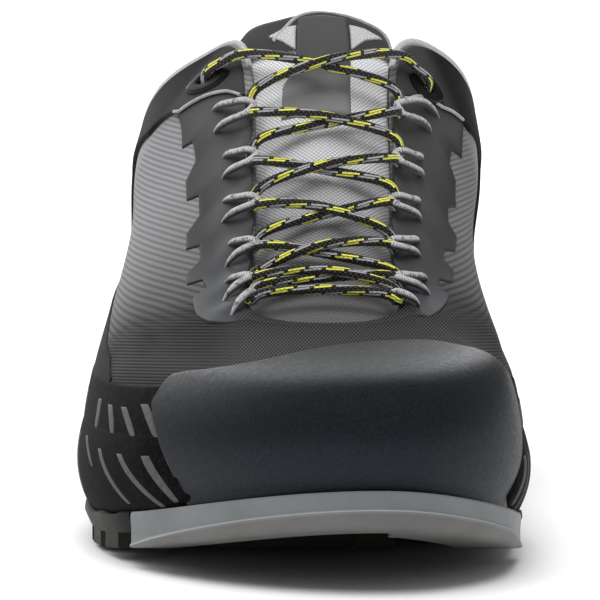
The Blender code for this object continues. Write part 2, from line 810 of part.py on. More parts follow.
def cap_top(place):
    """Top edge of the toe cap, as t."""
    return t_at_reach(place, smooth_table_at(CAP_TOP_REACH, place) * MM)


def toe_cap_mesh():
    """Patch over the toe, with one more row that drops straight to the sole."""
    places = places_between(*CAP_PLACES)
    points = []
    for place in places:
        x, y, _ = shell(place, 0.0, LAYER_GAP)
        outer_y = shell(place, 0.0, LAYER_GAP + OVERLAY)[1]
        points.append((x, y, outsole_top(along(outer_y)) + SOLE_GAP))
        points += [shell(place, t, LAYER_GAP) for t in facet_rows(0.0, cap_top(place))]
    return mesh_of("toe_cap", points, grid_faces(len(places), UPPER_ROWS + 2, wrap=False))


def cap_room_mesh(places):
    """Closed room for the toe cap: from just inside the upper's skin to well outside the sole."""
    points = []
    for place in places:
        inner = [shell(place, r / UPPER_ROWS, -CAP_ROOM_INSET) for r in range(CAP_ROOM_ROWS + 1)]
        foot = np.array([*inner[0][:2], outsole_top(along(inner[0][1]))])
        outer = outline_point(place, CAP_ROOM_REACH)
        points += [foot, *inner, np.array([*outer, inner[-1][2]]), np.array([*outer, foot[2]])]
    size = CAP_ROOM_ROWS + 4
    faces = []
    for c in range(len(places) - 1):
        for k in range(size):
            j = (k + 1) % size
            faces.append((c * size + k, (c + 1) * size + k, (c + 1) * size + j, c * size + j))
    last = (len(places) - 1) * size
    faces.append(tuple(range(size - 1, -1, -1)))
    faces.append(tuple(range(last, last + size)))
    return mesh_of("toe_cap_room", points, faces, closed=True)


def mirrored(place):
    return SECTION_COUNT - place


def lateral_place(place):
    """The place itself on the lateral side, or its mirror place for one on the medial side."""
    turned = place % SECTION_COUNT
    return min(turned, mirrored(turned))


def rand_low(place):
    return t_at_height(place, midsole_top(place) + GAP)


def rand_high(place):
    return t_at_height(place, midsole_top(place) + RAND_HEIGHT)


def collar_low(place):
    return t_at_depth(place, table_at(COLLAR_BAND, lateral_place(place)) * MM)


def counter_low(place):
    return t_at_height(place, midsole_top(place) + RAND_HEIGHT + GAP)


def counter_high(place):
    """Meets the collar panel behind the ankle, then slopes down to the rand."""
    near = lateral_place(place)
    share = smooth_step((near - COUNTER_SLOPE_START) / (COUNTER_END - COUNTER_SLOPE_START))
    meeting = t_at_depth(place, table_at(COLLAR_BAND, near) * MM + 2 * GAP)
    foot = counter_low(place) + COUNTER_TIP
    return meeting + (foot - meeting) * share


def tooth_steps():
    """Places and depths of the eyestay's outer edge on the lateral side, from collar to toe."""
    steps = [(EYESTAY_START, table_at(EYESTAY_DEPTH, EYESTAY_START))]
    for k in range(TOOTH_COUNT):
        end = TOOTH_FIRST + k * TOOTH_PITCH
        for part, notch in TOOTH_SHAPE:
            place = end + part * TOOTH_PITCH
            steps.append((place, table_at(EYESTAY_DEPTH, place) - notch * TOOTH_NOTCH))
    steps += [row for row in EYESTAY_DEPTH if row[0] > steps[-1][0]]
    return steps


TOOTH_STEPS = tooth_steps()


def eyestay_low(place):
    return t_at_depth(place, table_at(TOOTH_STEPS, lateral_place(place)) * MM)


def eyestay_high(place):
    """Stops one gap short of the collar panel at the top, and reaches the throat edge below it."""
    near = lateral_place(place)
    if near < EYESTAY_TURN[1]:
        return t_at_depth(place, table_at(COLLAR_BAND, near) * MM + 2 * GAP)
    return 1.0


def lining_mesh():
    """Sheet inside the collar that rises above its edge."""
    places = places_between(SECTION_COUNT - LINING_END, SECTION_COUNT + LINING_END)
    points = []
    for place in places:
        rows = facet_rows(t_at_depth(place, LINING_DEPTH), 1.0)
        points += [shell(place, t, -WALL - 2 * GAP) for t in rows]
        points.append(points[-1] + np.array([0, 0, LINING_ROLL]))
    return mesh_of("collar_lining", points, grid_faces(len(places), UPPER_ROWS + 2, wrap=False))


def tongue_rung(place, flap, crown):
    """Points across the tongue at a throat place: under one edge, over the crown, under the other."""
    other = mirrored(place)
    first = shell(place, 1.0, -TONGUE_UNDER)
    last = shell(other, 1.0, -TONGUE_UNDER)
    rise = (skin_normal(place, 1.0) + skin_normal(other, 1.0)) / 2
    rise /= np.linalg.norm(rise)
    rung = [shell(place, t_at_depth(place, flap), -TONGUE_UNDER)]
    for share in TONGUE_SHARES:
        rung.append(first + (last - first) * share + rise * crown * 4 * share * (1 - share))
    rung.append(shell(other, t_at_depth(other, flap), -TONGUE_UNDER))
    return rung


def tongue_mesh():
    """Sheet from under the vamp, along the throat and up to the rounded top."""
    rungs = [[shell(place, t_at_depth(place, TONGUE_TOE_DEPTH), -TONGUE_UNDER)
              for place in TONGUE_TOE_PLACES]]
    for row in TONGUE_RUNGS:
        rungs.append(tongue_rung(row.place, row.flap * MM, row.crown * MM))
    top = np.array(rungs[-1])
    lean = (top - np.array(rungs[-2]))[len(TONGUE_ARCH) // 2]
    lean /= np.linalg.norm(lean)
    middle = (top[0] + top[-1]) / 2
    for row in TONGUE_TOPS:
        spread = middle + (top - middle) * np.array([row.width, 1, 1])
        climb = np.array(TONGUE_ARCH)[:, None] * row.arch + row.reach
        rungs.append(list(spread + climb * lean * MM))
    points = [point for rung in rungs for point in rung]
    faces = grid_faces(len(rungs), len(TONGUE_ARCH), wrap=False)
    return mesh_of("tongue", points, [tuple(reversed(face)) for face in faces])


# Cords


def tube(name, points, radius, roundness, material, collection):
    data = bpy.data.curves.new(name, "CURVE")
    data.dimensions = "3D"
    data.bevel_depth = radius
    data.bevel_resolution = roundness
    data.use_fill_caps = True
    spline = data.splines.new("POLY")
    spline.points.add(len(points) - 1)
    for spot, point in zip(spline.points, points):
        spot.co = (*point, 1)
    return add_object(name, data, collection, material)


def throat_inward(place):
    """Direction across the throat at its edge, away from the eyestay."""
    step = skin(place, 1.0) - skin(place, t_at_depth(place, THROAT_EDGE))
    return step / np.linalg.norm(step)


LOOP_BASE = LAYER_GAP + EYESTAY_THICK + GAP + LOOP_RADIUS


def loop_points(place, slant):
    """A cord loop: out of the eyestay and over the edge of the throat."""
    points = []
    for share, lift in LOOP_RISE:
        spot = place + slant * share
        points.append(shell(spot, t_at_depth(spot, LOOP_REACH * share), LOOP_BASE + lift * MM))
    edge = shell(place, 1.0, LOOP_BASE + LOOP_EDGE_LIFT)
    points.append(edge + throat_inward(place) * LOOP_OVERHANG)
    return points


def loop_place(level, upper):
    """Place of a loop on the lateral side: a set has one loop, or an upper and a lower one."""
    row = LOOP_SETS[level]
    if row.count == 1:
        return row.place
    return row.place - LOOP_SPLIT if upper else row.place + LOOP_SPLIT


def loop_list():
    """Name, place and slant of each loop, on both sides."""
    loops = []
    for level, row in enumerate(LOOP_SETS):
        for n in range(row.count):
            place = loop_place(level, upper=n == 0)
            loops.append((f"lace_loop_lateral_{level}_{n}", place, LOOP_SLANTS_LATERAL[n]))
            loops.append((f"lace_loop_medial_{level}_{n}", mirrored(place), LOOP_SLANTS_MEDIAL[n]))
    return loops


def lace_anchor(place):
    """Where a strand starts, just past the end of its loop."""
    edge = shell(place, 1.0, LOOP_BASE + LOOP_EDGE_LIFT)
    return edge + throat_inward(place) * (LOOP_OVERHANG + LACE_START)


def throat_rise(place):
    """Direction up from the throat at a place, and the middle between its edges there."""
    rise = skin_normal(place, 1.0) + skin_normal(mirrored(place), 1.0)
    middle = (skin(place, 1.0) + skin(mirrored(place), 1.0)) / 2
    return rise / np.linalg.norm(rise), middle


def strand_points(route):
    """Smooth curve through a strand's route."""
    stops = [2 * route[0] - route[1], *route, 2 * route[-1] - route[-2]]
    points = []
    for before, here, after, far in zip(stops, stops[1:], stops[2:], stops[3:]):
        for k in range(LACE_STEPS):
            part = k / LACE_STEPS
            bend = 2 * before - 5 * here + 4 * after - far
            twist = 3 * here - before - 3 * after + far
            points.append(here + 0.5 * ((after - before) * part + bend * part ** 2 + twist * part ** 3))
    return points + [route[-1]]


def bowed_route(first, last, lift):
    """Route from one throat edge to the other, bowed up over the tongue."""
    start, end = lace_anchor(first), lace_anchor(last)
    rise, _ = throat_rise(lateral_place(first))
    return [start, (start + end) / 2 + rise * (LACE_BOW + lift), end]


def top_route(first, lift):
    """Route from a loop over the tongue to the top eyelet across the throat."""
    def across(place):
        return mirrored(place) if first < SECTION_COUNT / 2 else place

    height = LAYER_GAP + EYESTAY_THICK + GAP + EYELET_THICK + GAP + LACE_RADIUS
    rise, middle = throat_rise(TOP_CROSSING_PLACE)
    route = [lace_anchor(first), middle + rise * (TOP_CROSSING_RISE + lift)]
    for place, depth in TOP_WAYS + [(EYELET_PLACE, EYELET_DEPTH)]:
        route.append(shell(across(place), t_at_depth(across(place), depth), height))
    return route


def mesh_from_curve(item, collection):
    """Mesh object in place of a curve, with its caps welded on."""
    depsgraph = bpy.context.evaluated_depsgraph_get()
    mesh = bpy.data.meshes.new_from_object(item.evaluated_get(depsgraph))
    form = bmesh.new()
    form.from_mesh(mesh)
    bmesh.ops.remove_doubles(form, verts=form.verts, dist=MERGE)
    form.to_mesh(mesh)
    form.free()
    name = item.name
    matrix = item.matrix_world.copy()
    bpy.data.objects.remove(item)
    solid = bpy.data.objects.new(name, mesh)
    solid.matrix_world = matrix
    collection.objects.link(solid)
    return solid


def add_crossing(level, material, parts, cutters):
    """Two strands between one level of loops and the next, one lying on the other."""
    first = loop_place(level, upper=True)
    if level == 0:
        first -= LACE_FIRST_SPLIT
    if level == len(LOOP_SETS) - 1:
        routes = [top_route(first, 0.0), top_route(mirrored(first), LACE_LAP)]
    else:
        second = loop_place(level + 1, upper=False)
        routes = [bowed_route(first, mirrored(second), 0.0), bowed_route(mirrored(first), second, LACE_LAP)]
    strands = [strand_points(route) for route in routes]
    under = tube(f"lace_crossing_{level}", strands[0], LACE_RADIUS, LACE_ROUNDNESS, material, parts)
    over = tube(f"lace_over_{level}", strands[1], LACE_RADIUS, LACE_ROUNDNESS, material, cutters)
    under = mesh_from_curve(under, parts)
    over = mesh_from_curve(over, cutters)
    over.hide_render = True
    over.display_type = "WIRE"
    add_boolean(under, over, "UNION")


def eyelet_mesh(name, place):
    """Almond plate with a slot, bent to the collar panel."""
    centre = t_at_depth(place, EYELET_DEPTH)
    offset = LAYER_GAP + EYESTAY_THICK + GAP
    side = 1 if place < SECTION_COUNT / 2 else -1
    step = EYELET_STEP
    round_size = np.linalg.norm(shell(place + step, centre, offset) - shell(place - step, centre, offset))
    up_size = np.linalg.norm(shell(place, centre + step, offset) - shell(place, centre - step, offset))
    points = []
    for k in range(EYELET_CORNERS):
        angle = 2 * math.pi * k / EYELET_CORNERS
        for size in (EYELET_HOLE, 1.0):
            reach = EYELET_HALF_LENGTH * size * math.cos(angle)
            width = EYELET_HALF_WIDTH * size * math.sin(angle)
            up = reach * math.cos(EYELET_TILT) - width * math.sin(EYELET_TILT)
            turn = (reach * math.sin(EYELET_TILT) + width * math.cos(EYELET_TILT)) * side
            spot = place + turn * 2 * step / round_size
            points.append(shell(spot, centre + up * 2 * step / up_size, offset))
    faces = grid_faces(EYELET_CORNERS, 2, wrap=True)
    if side < 0:
        faces = [tuple(reversed(face)) for face in faces]
    return mesh_of(name, points, faces)


def collections():
    for item in list(bpy.data.objects):
        bpy.data.objects.remove(item)
    parts = bpy.data.collections.new("hiking_shoe")
    cutters = bpy.data.collections.new("cutters")
    for group in (parts, cutters):
        bpy.context.scene.collection.children.link(group)
    return parts, cutters


def materials():
    return {
        "tread": make_material("tread_rubber", (0.09, 0.085, 0.07), 0.8),
        "grip": make_material("toe_zone_rubber", (0.2, 0.2, 0.21), 0.75),
        "foam": make_material("midsole_foam", (0.02, 0.02, 0.022), 0.8),
        "felt": make_material("insole_felt", (0.03, 0.03, 0.03), 0.9),
        "weave": make_material("upper_weave", (0.25, 0.25, 0.26), 0.85),
        "film": make_material("overlay_film", (0.07, 0.07, 0.075), 0.6),
        "cap": make_material("toe_cap_rubber", (0.05, 0.055, 0.065), 0.7),
        "lining": make_material("lining_knit", (0.45, 0.45, 0.46), 0.9),
        "tongue": make_material("tongue_knit", (0.2, 0.2, 0.2), 0.9),
        "loop": make_material("loop_cord", (0.4, 0.4, 0.41), 0.8),
        "lace": make_material("lace_braid", (0.03, 0.03, 0.03), 0.8),
        "eyelet": make_material("eyelet_plastic", (0.015, 0.016, 0.025), 0.4),
    }


def add_sole(looks, parts, cutters):
    outsole = add_object("outsole", outsole_mesh(), parts, looks["tread"])
    lugs = add_cutter("lugs", join_meshes("lugs", lug_meshes()), cutters)
    add_boolean(outsole, lugs, "UNION", "MANIFOLD")
    add_boolean(outsole, add_cutter("toe_zone_room", zone_cutter_mesh(), cutters), "DIFFERENCE")
    add_object("toe_zone", toe_zone_mesh(), parts, looks["grip"])

    midsole = add_object("midsole", midsole_mesh(), parts, looks["foam"])
    rib_list = [rib_mesh(place) for row in RIB_PLACES for place in (row, mirrored(row))]
    ribs = add_cutter("ribs", join_meshes("ribs", rib_list), cutters)
    room = add_cutter("toe_cap_room", cap_room_mesh(places_between(*CAP_PLACES)), cutters)
    for end in cap_end_cutters("room_end", -GAP, False, cutters):
        add_boolean(room, end, "DIFFERENCE")
    add_boolean(midsole, ribs, "UNION", "MANIFOLD")
    add_boolean(midsole, room, "DIFFERENCE")
    add_object("insole", insole_mesh(), parts, looks["felt"])


def add_layer(name, mesh, thickness, parts, material):
    """Layer on the outside of the upper."""
    layer = add_object(name, mesh, parts, material)
    add_solidify(layer, thickness, outward=True)
    return layer


def add_toe_cap_and_rand(looks, parts, cutters):
    cap = add_layer("toe_cap", toe_cap_mesh(), OVERLAY, parts, looks["cap"])
    for end in cap_end_cutters("behind_cap_end", 0.0, False, cutters):
        add_boolean(cap, end, "DIFFERENCE")
    places = places_between(SECTION_COUNT - RAND_MEDIAL_END, SECTION_COUNT + RAND_LATERAL_END)
    mesh = patch_mesh("rand", places, rand_low, rand_high, LAYER_GAP)
    rand = add_layer("rand", mesh, OVERLAY, parts, looks["film"])
    for end in cap_end_cutters("front_of_cap_end", -GAP, True, cutters):
        add_boolean(rand, end, "DIFFERENCE")


def add_panels(looks, parts):
    places = places_between(SECTION_COUNT - COUNTER_END, SECTION_COUNT + COUNTER_END)
    mesh = patch_mesh("heel_counter", places, counter_low, counter_high, LAYER_GAP)
    add_layer("heel_counter", mesh, EYESTAY_THICK, parts, looks["film"])
    places = places_between(SECTION_COUNT - COLLAR_END, SECTION_COUNT + COLLAR_END)
    mesh = patch_mesh("collar_panel", places, collar_low, lambda p: COLLAR_TOP, LAYER_GAP)
    add_layer("collar_panel", mesh, EYESTAY_THICK, parts, looks["film"])
    edge_places = [row[0] for row in TOOTH_STEPS] + list(EYESTAY_TURN)
    places = places_between(EYESTAY_START, mirrored(EYESTAY_START),
                            edge_places + [mirrored(place) for place in edge_places])
    mesh = patch_mesh("eyestay", places, eyestay_low, eyestay_high, LAYER_GAP)
    add_layer("eyestay", mesh, EYESTAY_THICK, parts, looks["film"])


def add_lace(looks, parts, cutters):
    for name, place, slant in loop_list():
        tube(name, loop_points(place, slant), LOOP_RADIUS, LOOP_ROUNDNESS, looks["loop"], parts)
    bar_place = LOOP_SETS[0].place + LACE_FIRST_SPLIT
    bar = strand_points(bowed_route(bar_place, mirrored(bar_place), 0.0))
    tube("lace_bar", bar, LACE_RADIUS, LACE_ROUNDNESS, looks["lace"], parts)
    for level in range(len(LOOP_SETS)):
        add_crossing(level, looks["lace"], parts, cutters)
    for side, place in (("lateral", EYELET_PLACE), ("medial", mirrored(EYELET_PLACE))):
        name = f"top_eyelet_{side}"
        add_layer(name, eyelet_mesh(name, place), EYELET_THICK, parts, looks["eyelet"])


def main():
    parts, cutters = collections()
    looks = materials()
    add_sole(looks, parts, cutters)
    upper = add_object("upper", upper_mesh(), parts, looks["weave"])
    add_solidify(upper, WALL, outward=False)
    add_toe_cap_and_rand(looks, parts, cutters)
    add_panels(looks, parts)
    lining = add_object("collar_lining", lining_mesh(), parts, looks["lining"])
    add_solidify(lining, LINING_THICK, outward=False)
    tongue = add_object("tongue", tongue_mesh(), parts, looks["tongue"])
    add_solidify(tongue, TONGUE_THICK, outward=False, even=False)
    add_lace(looks, parts, cutters)


if __name__ == "__main__":
    main()
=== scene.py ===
"""Looks of the right hiking shoe: fine surfaces, cords, materials, studio light and camera.

Metres, +Z up. The toe points to -Y, the big-toe (medial) side is +X, and the tread stands on z = 0.
"""

import math
from collections import namedtuple

import bmesh
import bpy
import numpy as np
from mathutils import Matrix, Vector


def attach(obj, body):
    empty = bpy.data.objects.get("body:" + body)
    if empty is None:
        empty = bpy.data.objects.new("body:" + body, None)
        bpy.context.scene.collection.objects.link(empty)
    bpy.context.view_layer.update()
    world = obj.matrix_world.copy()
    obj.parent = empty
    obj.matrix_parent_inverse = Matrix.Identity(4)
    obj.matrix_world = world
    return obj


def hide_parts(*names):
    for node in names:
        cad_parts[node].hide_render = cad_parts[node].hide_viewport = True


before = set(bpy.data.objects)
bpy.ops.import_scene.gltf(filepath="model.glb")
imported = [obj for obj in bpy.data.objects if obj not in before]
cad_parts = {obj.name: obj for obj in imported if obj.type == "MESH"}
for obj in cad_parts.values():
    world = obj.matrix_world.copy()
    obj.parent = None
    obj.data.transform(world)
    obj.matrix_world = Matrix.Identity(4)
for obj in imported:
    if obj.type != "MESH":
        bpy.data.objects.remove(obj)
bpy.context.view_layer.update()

MM = 0.001

# Driving sizes, as in the part's source
SHOE_LENGTH = 300 * MM
TOE_SPRING = 18 * MM
HEEL_BEVEL = 4 * MM
ARCH_RISE = 4 * MM
HEEL_STACK = 26 * MM
BALL_STACK = 17 * MM
TOE_STACK = 11.5 * MM
OUTSOLE_THICK = 9 * MM
OUTSOLE_FOLLOW = 0.5
LUG_DEPTH = 4 * MM
MIDSOLE_WALL = 14 * MM
FEATHER_TUCK = 3 * MM
FEATHER_RISE = 9 * MM
FOOTBED_DROP = (60 * MM, 200 * MM)
HEEL_FLAT = (14 * MM, 70 * MM)
BALL_FLAT = (160 * MM, 190 * MM)
GAP = 0.3 * MM
WALL = 1.8 * MM
FILM = 1.3 * MM
FACING_THICK = 0.55 * MM
CAP_THICK = 2.3 * MM
RAND_THICK = 1.0 * MM
LACE_RADIUS = 1.3 * MM
LOOP_RADIUS = 1.0 * MM

# Sections round the shoe in millimetres, from the heel along the lateral side to the toe and back
Section = namedtuple("Section", "name x a knee_in knee_z brow_in brow_z open_x open_a open_z")
SECTIONS = [
    Section("heel_back", 1, 3.2, 0, 58, 5.5, 82, 1, 8, 98),
    Section("heel_round_lateral", -22, 10, 0.5, 57, 5.5, 79, -16, 14, 95),
    Section("heel_side_lateral", -36, 34, 0.5, 56, 1.5, 73, -33, 38, 87),
    Section("ankle_lateral", -39.5, 68, 0, 57, -2.5, 73, -41.5, 71, 87),
    Section("collar_lateral", -41, 96, -0.5, 60, -2.5, 82, -37, 96, 104),
    Section("corner_lateral", -43, 116, -0.5, 62, 0, 86, -23, 111, 115.5),
    Section("instep_lateral", -46, 138, 0, 63, 5.5, 85, -14.5, 121, 116),
    Section("waist_lateral", -50, 162, 1.2, 56, 14.5, 74, -12.5, 147, 92.5),
    Section("ball_lateral", -54, 192, 4.6, 50, 18, 60, -12.5, 172, 72),
    Section("little_toe", -50, 226, 4.5, 45.5, 17, 53.2, -14, 191, 61.8),
    Section("toe_side_lateral", -36, 260, 5, 45.5, 21, 51, -12, 203, 58.2),
    Section("toe_front_lateral", -10, 288, 5.5, 46.5, 29, 51.6, -4, 209.5, 56.8),
    Section("toe_tip", 20, 297.5, 5.5, 48, 32, 52.9, 6, 211.5, 56.6),
    Section("toe_front_medial", 39, 287, 5, 48.5, 28, 53.5, 16, 209.5, 56.8),
    Section("toe_side_medial", 49.5, 268, 4.5, 48, 19.5, 53.8, 23, 203, 58.2),
    Section("big_toe", 53, 244, 4.5, 48, 16, 54.4, 24.5, 191, 61.8),
    Section("ball_medial", 53.5, 210, 3, 49.5, 13, 58.5, 22.5, 172, 72),
    Section("waist_medial", 48, 174, -0.3, 55, 8.5, 70.5, 23, 147, 92.5),
    Section("arch_medial", 42.5, 144, -2.6, 61, 0.2, 81, 24, 121, 116),
    Section("corner_medial", 40, 118, -3, 62, -5, 85, 34, 111, 116.3),
    Section("collar_medial", 39.5, 98, -2.5, 60, -6, 82, 43, 96, 104),
    Section("ankle_medial", 38.5, 70, 0, 57, -4.5, 73, 43.5, 71, 87),
    Section("heel_side_medial", 36, 36, 0.5, 56, 1, 73, 35, 38, 87),
    Section("heel_round_medial", 23, 10.5, 0.5, 57, 5.5, 79, 18, 14, 95),
]
COUNT = len(SECTIONS)
KNEE_SLIDE = 0.2
BROW_SLIDE = 0.6
PLACE_STEP = 0.02
PLACE_NEAR = 0.05
T_STEP = 0.01
WALL_SAMPLES = np.linspace(0, 1, 81)
RING_COLUMNS = 360
FINE_STEPS = 40
END_STEPS = (0.008, 0.02, 0.035)
EDGE_ANGLES = np.linspace(0, np.pi / 2, 5)

# Edges of the panels, as section place and millimetres along the wall
COLLAR_BACK = [(0.0, 24), (1.0, 22), (3.0, 17)]
COLLAR_BAND_LATERAL = COLLAR_BACK + [(4.0, 21), (5.0, 28), (5.75, 24), (6.25, 8), (6.5, 1.5)]
COLLAR_BAND_MEDIAL = COLLAR_BACK + [(4.0, 19), (5.0, 24), (5.65, 20), (6.25, 8.5), (6.5, 1.5)]
COLLAR_EDGE = 2.4 * MM
COLLAR_END = 6.45
Facing = namedtuple("Facing", "start first_tooth pitch notch tooth fade depths")
FACING_LATERAL = Facing(5.7, 6.25, 0.62, 4.2, [(0.0, 0), (0.12, 1), (0.5, 1), (0.66, 0)], (9.55, 10.1),
                        [(5.7, 25.5), (6.3, 27), (7.0, 23), (7.8, 20.5), (8.1, 19.5), (8.4, 17),
                         (9.1, 15.5), (9.5, 13.5), (9.8, 10), (10.1, 4), (12.0, 2)])
FACING_MEDIAL = Facing(5.18, 5.62, 0.66, 4.5, [(0.0, 0), (0.28, 1), (0.58, 1), (0.62, 0)], (8.8, 9.4),
                       [(5.18, 24), (5.62, 34), (6.25, 39), (6.6, 38), (6.94, 33), (7.4, 28), (7.8, 24.5),
                        (8.4, 19.5), (9.2, 13), (9.8, 5), (12.0, 2)])
TOOTH_COUNT = 4
# Counter: height above the rand in millimetres at section places
COUNTER_LATERAL = [(3.2, 60), (4.2, 33), (5.1, 22), (6.2, 15), (7.0, 13), (7.8, 11), (8.6, 7), (9.0, 2)]
COUNTER_MEDIAL = [(3.2, 60), (4.2, 33), (5.1, 22), (6.2, 13), (7.0, 7), (8.3, 2)]
RAND_HEIGHT = 11 * MM
CAP_TOP_REACH = [(8.4, 22), (9.2, 25), (10.0, 29), (10.3, 33.5), (10.7, 38.5), (11.1, 46.5), (11.6, 60),
                 (12.1, 69), (12.6, 70), (13.0, 65), (13.3, 54), (13.6, 43.5), (14.1, 34.5), (14.8, 31),
                 (15.6, 28), (16.6, 24)]
# Ends of the toe cap: height in millimetres and section place
CAP_END_LATERAL = [(12, 10.33), (20, 10.3), (26, 10.225), (33, 10.13), (38, 10.06), (42, 10.02)]
CAP_END_MEDIAL = [(12, 14.3), (24, 14.42), (32, 14.6), (38.5, 14.85), (42, 14.95)]

# Sides of the sole: share of the height and distance out from the outline
OUTSOLE_SIDE = [(0.0, -0.9 * MM), (0.12, -0.5 * MM), (0.55, 0.5 * MM), (0.8, 0.9 * MM),
                (0.93, 0.8 * MM), (1.0, 0.0)]
MIDSOLE_SHARES = (0.0, 0.28, 0.62, 1.0)
MIDSOLE_OUTS = (-0.2 * MM, 2.2 * MM, 2.8 * MM)

# Tongue, as in the part's source
TongueRung = namedtuple("TongueRung", "place flap crown")
TONGUE_RUNGS = [TongueRung(10.6, 9, 0.5), TongueRung(10.0, 9, 2.0), TongueRung(9.3, 9, 3.5),
                TongueRung(8.6, 9, 4.5), TongueRung(8.0, 9, 5.0), TongueRung(7.5, 8, 5.0),
                TongueRung(7.0, 7, 5.0), TongueRung(6.6, 5.5, 5.0), TongueRung(6.25, 4.5, 5.0)]
TONGUE_SHARES = (0.0, 0.18, 0.5, 0.82, 1.0)
TONGUE_TOE_PLACES = (10.9, 11.2, 11.6, 12.0, 12.4, 12.8, 13.1)
TONGUE_TOE_DEPTH = 9 * MM
TONGUE_UNDER = WALL + 1.0 * MM
TONGUE_THICK = 3.5 * MM
TongueTop = namedtuple("TongueTop", "reach width arch")
TONGUE_TOPS = [TongueTop(5, 1.03, 0.5), TongueTop(9.5, 1.03, 2.5), TongueTop(13.5, 0.98, 4.5)]
TONGUE_ARCH = (0.5, 0.65, 0.8, 1.0, 0.7, 0.3, 0)
TONGUE_SPREAD = (1.8, 1.3, 0.6, 0, 0, 0, 0)

# Lace and loops: section places at the throat's edge, from the toe to the collar
LoopSet = namedtuple("LoopSet", "place count")
LOOP_SETS = [LoopSet(9.72, 1), LoopSet(8.98, 2), LoopSet(8.2, 2), LoopSet(7.6, 2),
             LoopSet(7.13, 2), LoopSet(6.7, 2)]
LOOP_SPLIT = 0.085
Holes = namedtuple("Holes", "upper lower depth")
HOLES_LATERAL = [Holes(-0.06, 0, 7), Holes(-0.46, 0.02, 7.5), Holes(-0.38, -0.03, 8),
                 Holes(-0.37, -0.13, 10.5), Holes(-0.34, -0.14, 11), Holes(-0.46, -0.22, 14.7)]
HOLES_MEDIAL = [Holes(-0.66, 0, 9), Holes(-0.95, -0.58, 14), Holes(-0.7, -0.47, 12.6),
                Holes(-0.6, -0.41, 15), Holes(-0.64, -0.48, 19), Holes(-0.94, -0.64, 22.5)]
LOOP_HALF = 0.05
LOOP_TIP = 0.4
LOOP_ARCH = [(0.0, -0.2), (0.12, 1.0), (0.34, 2.3), (0.62, 3.3)]
LOOP_TAPER = 6 * MM
LACE_FIRST_SPLIT = 0.2
LACE_BOW = 1.4 * MM
LACE_LAP = 1.8 * LACE_RADIUS
LACE_HEIGHT = 3.5 * MM
LACE_INWARD = 2.9 * MM
# Ways past the throat's edge, as a distance inward and an offset from the wall
LACE_TURN = (0.2 * MM, 1.9 * MM)
LOOP_NOSE = (2.3 * MM, 3.0 * MM)
LOOP_SHOULDER = (0.8 * MM, 4.0 * MM)
LOOP_FOOT = (1.0 * MM, 1.0 * MM)
LACE_STEP = 0.7 * MM
CORD_STEP = 0.5 * MM
THROAT_STEP = 3 * MM
TOP_CLEAR = 0.8 * MM
EYELET_WAY = 1.5 * MM
LACE_END_SINK = 0.8 * MM
TOP_CROSSING_PLACE = 6.45
TOP_CROSSING_RISE = 9.5 * MM
TOP_WAYS = [(6.15, 0.0), (5.98, 6.5 * MM)]
EYELET_PLACE = 5.8
EYELET_DEPTH = 13.5 * MM
EYELET_HALF_LENGTH = 7.5 * MM
EYELET_HALF_WIDTH = 3.4 * MM
EYELET_HOLE = 0.32
EYELET_TILT = math.radians(35)
EYELET_ALMOND = 0.45
EYELET_EDGE = 0.8 * MM
EYELET_RISE = 0.9 * MM
EYELET_SINK = 0.1 * MM
EYELET_BACK = 0.3 * MM


# Number helpers


def ramp(value, first, last):
    """Smooth rise from 0 at the first value to 1 at the last."""
    share = np.clip((value - first) / (last - first), 0, 1)
    return share * share * (3 - 2 * share)


def unit(vectors):
    return vectors / np.linalg.norm(vectors, axis=-1, keepdims=True)


def steps_along(points, axis=0):
    """Distances between neighbours along one axis of a grid of points."""
    return np.linalg.norm(np.diff(points, axis=axis), axis=-1)


def running(steps, axis=0):
    """Running total of steps, which starts at zero."""
    zero = np.zeros_like(np.take(steps, [0], axis=axis))
    return np.concatenate([zero, np.cumsum(steps, axis=axis)], axis=axis)


def walk(points, axis=0):
    """Distance walked along one axis of a grid of points."""
    return running(steps_along(points, axis), axis)


def spline(ends, bends, part):
    """Way between two ends, on the cubic with the given bends at them."""
    rest = 1 - part
    curve = (rest ** 3 - rest) * bends[0] + (part ** 3 - part) * bends[1]
    return rest * ends[0] + part * ends[1] + curve / 6


def hermite(ends, slopes, span, part):
    """Way between two ends, on the cubic with the given slopes at them."""
    rest = 1 - part
    curve = ends[0] * rest ** 2 * (1 + 2 * part) + ends[1] * part ** 2 * (1 + 2 * rest)
    return curve + span * (slopes[0] * rest ** 2 * part - slopes[1] * part ** 2 * rest)


# Shape of the last


def toe_lift(a):
    return TOE_SPRING * (np.maximum(a - BALL_FLAT[1], 0) / (SHOE_LENGTH - BALL_FLAT[1])) ** 2


def heel_lift(a):
    return HEEL_BEVEL * (np.maximum(HEEL_FLAT[0] - a, 0) / HEEL_FLAT[0]) ** 2


def arch_lift(a):
    share = np.clip((a - HEEL_FLAT[1]) / (BALL_FLAT[0] - HEEL_FLAT[1]), 0, 1)
    return ARCH_RISE * np.sin(np.pi * share) ** 2


def tread_z(a):
    return toe_lift(a) + heel_lift(a) + arch_lift(a)


def outsole_top(a):
    return OUTSOLE_THICK + toe_lift(a) + OUTSOLE_FOLLOW * (heel_lift(a) + arch_lift(a))


def footbed_z(a):
    start, end = FOOTBED_DROP
    stack = HEEL_STACK + (BALL_STACK - HEEL_STACK) * ramp(a, start, end)
    return stack + (TOE_STACK - BALL_STACK) * ramp(a, end, SHOE_LENGTH) + toe_lift(a)


def along(y):
    return SHOE_LENGTH / 2 - y


def section_values():
    values = np.array([row[1:] for row in SECTIONS], float) * MM
    values[:, 1] = along(values[:, 1])
    values[:, 7] = along(values[:, 7])
    return values


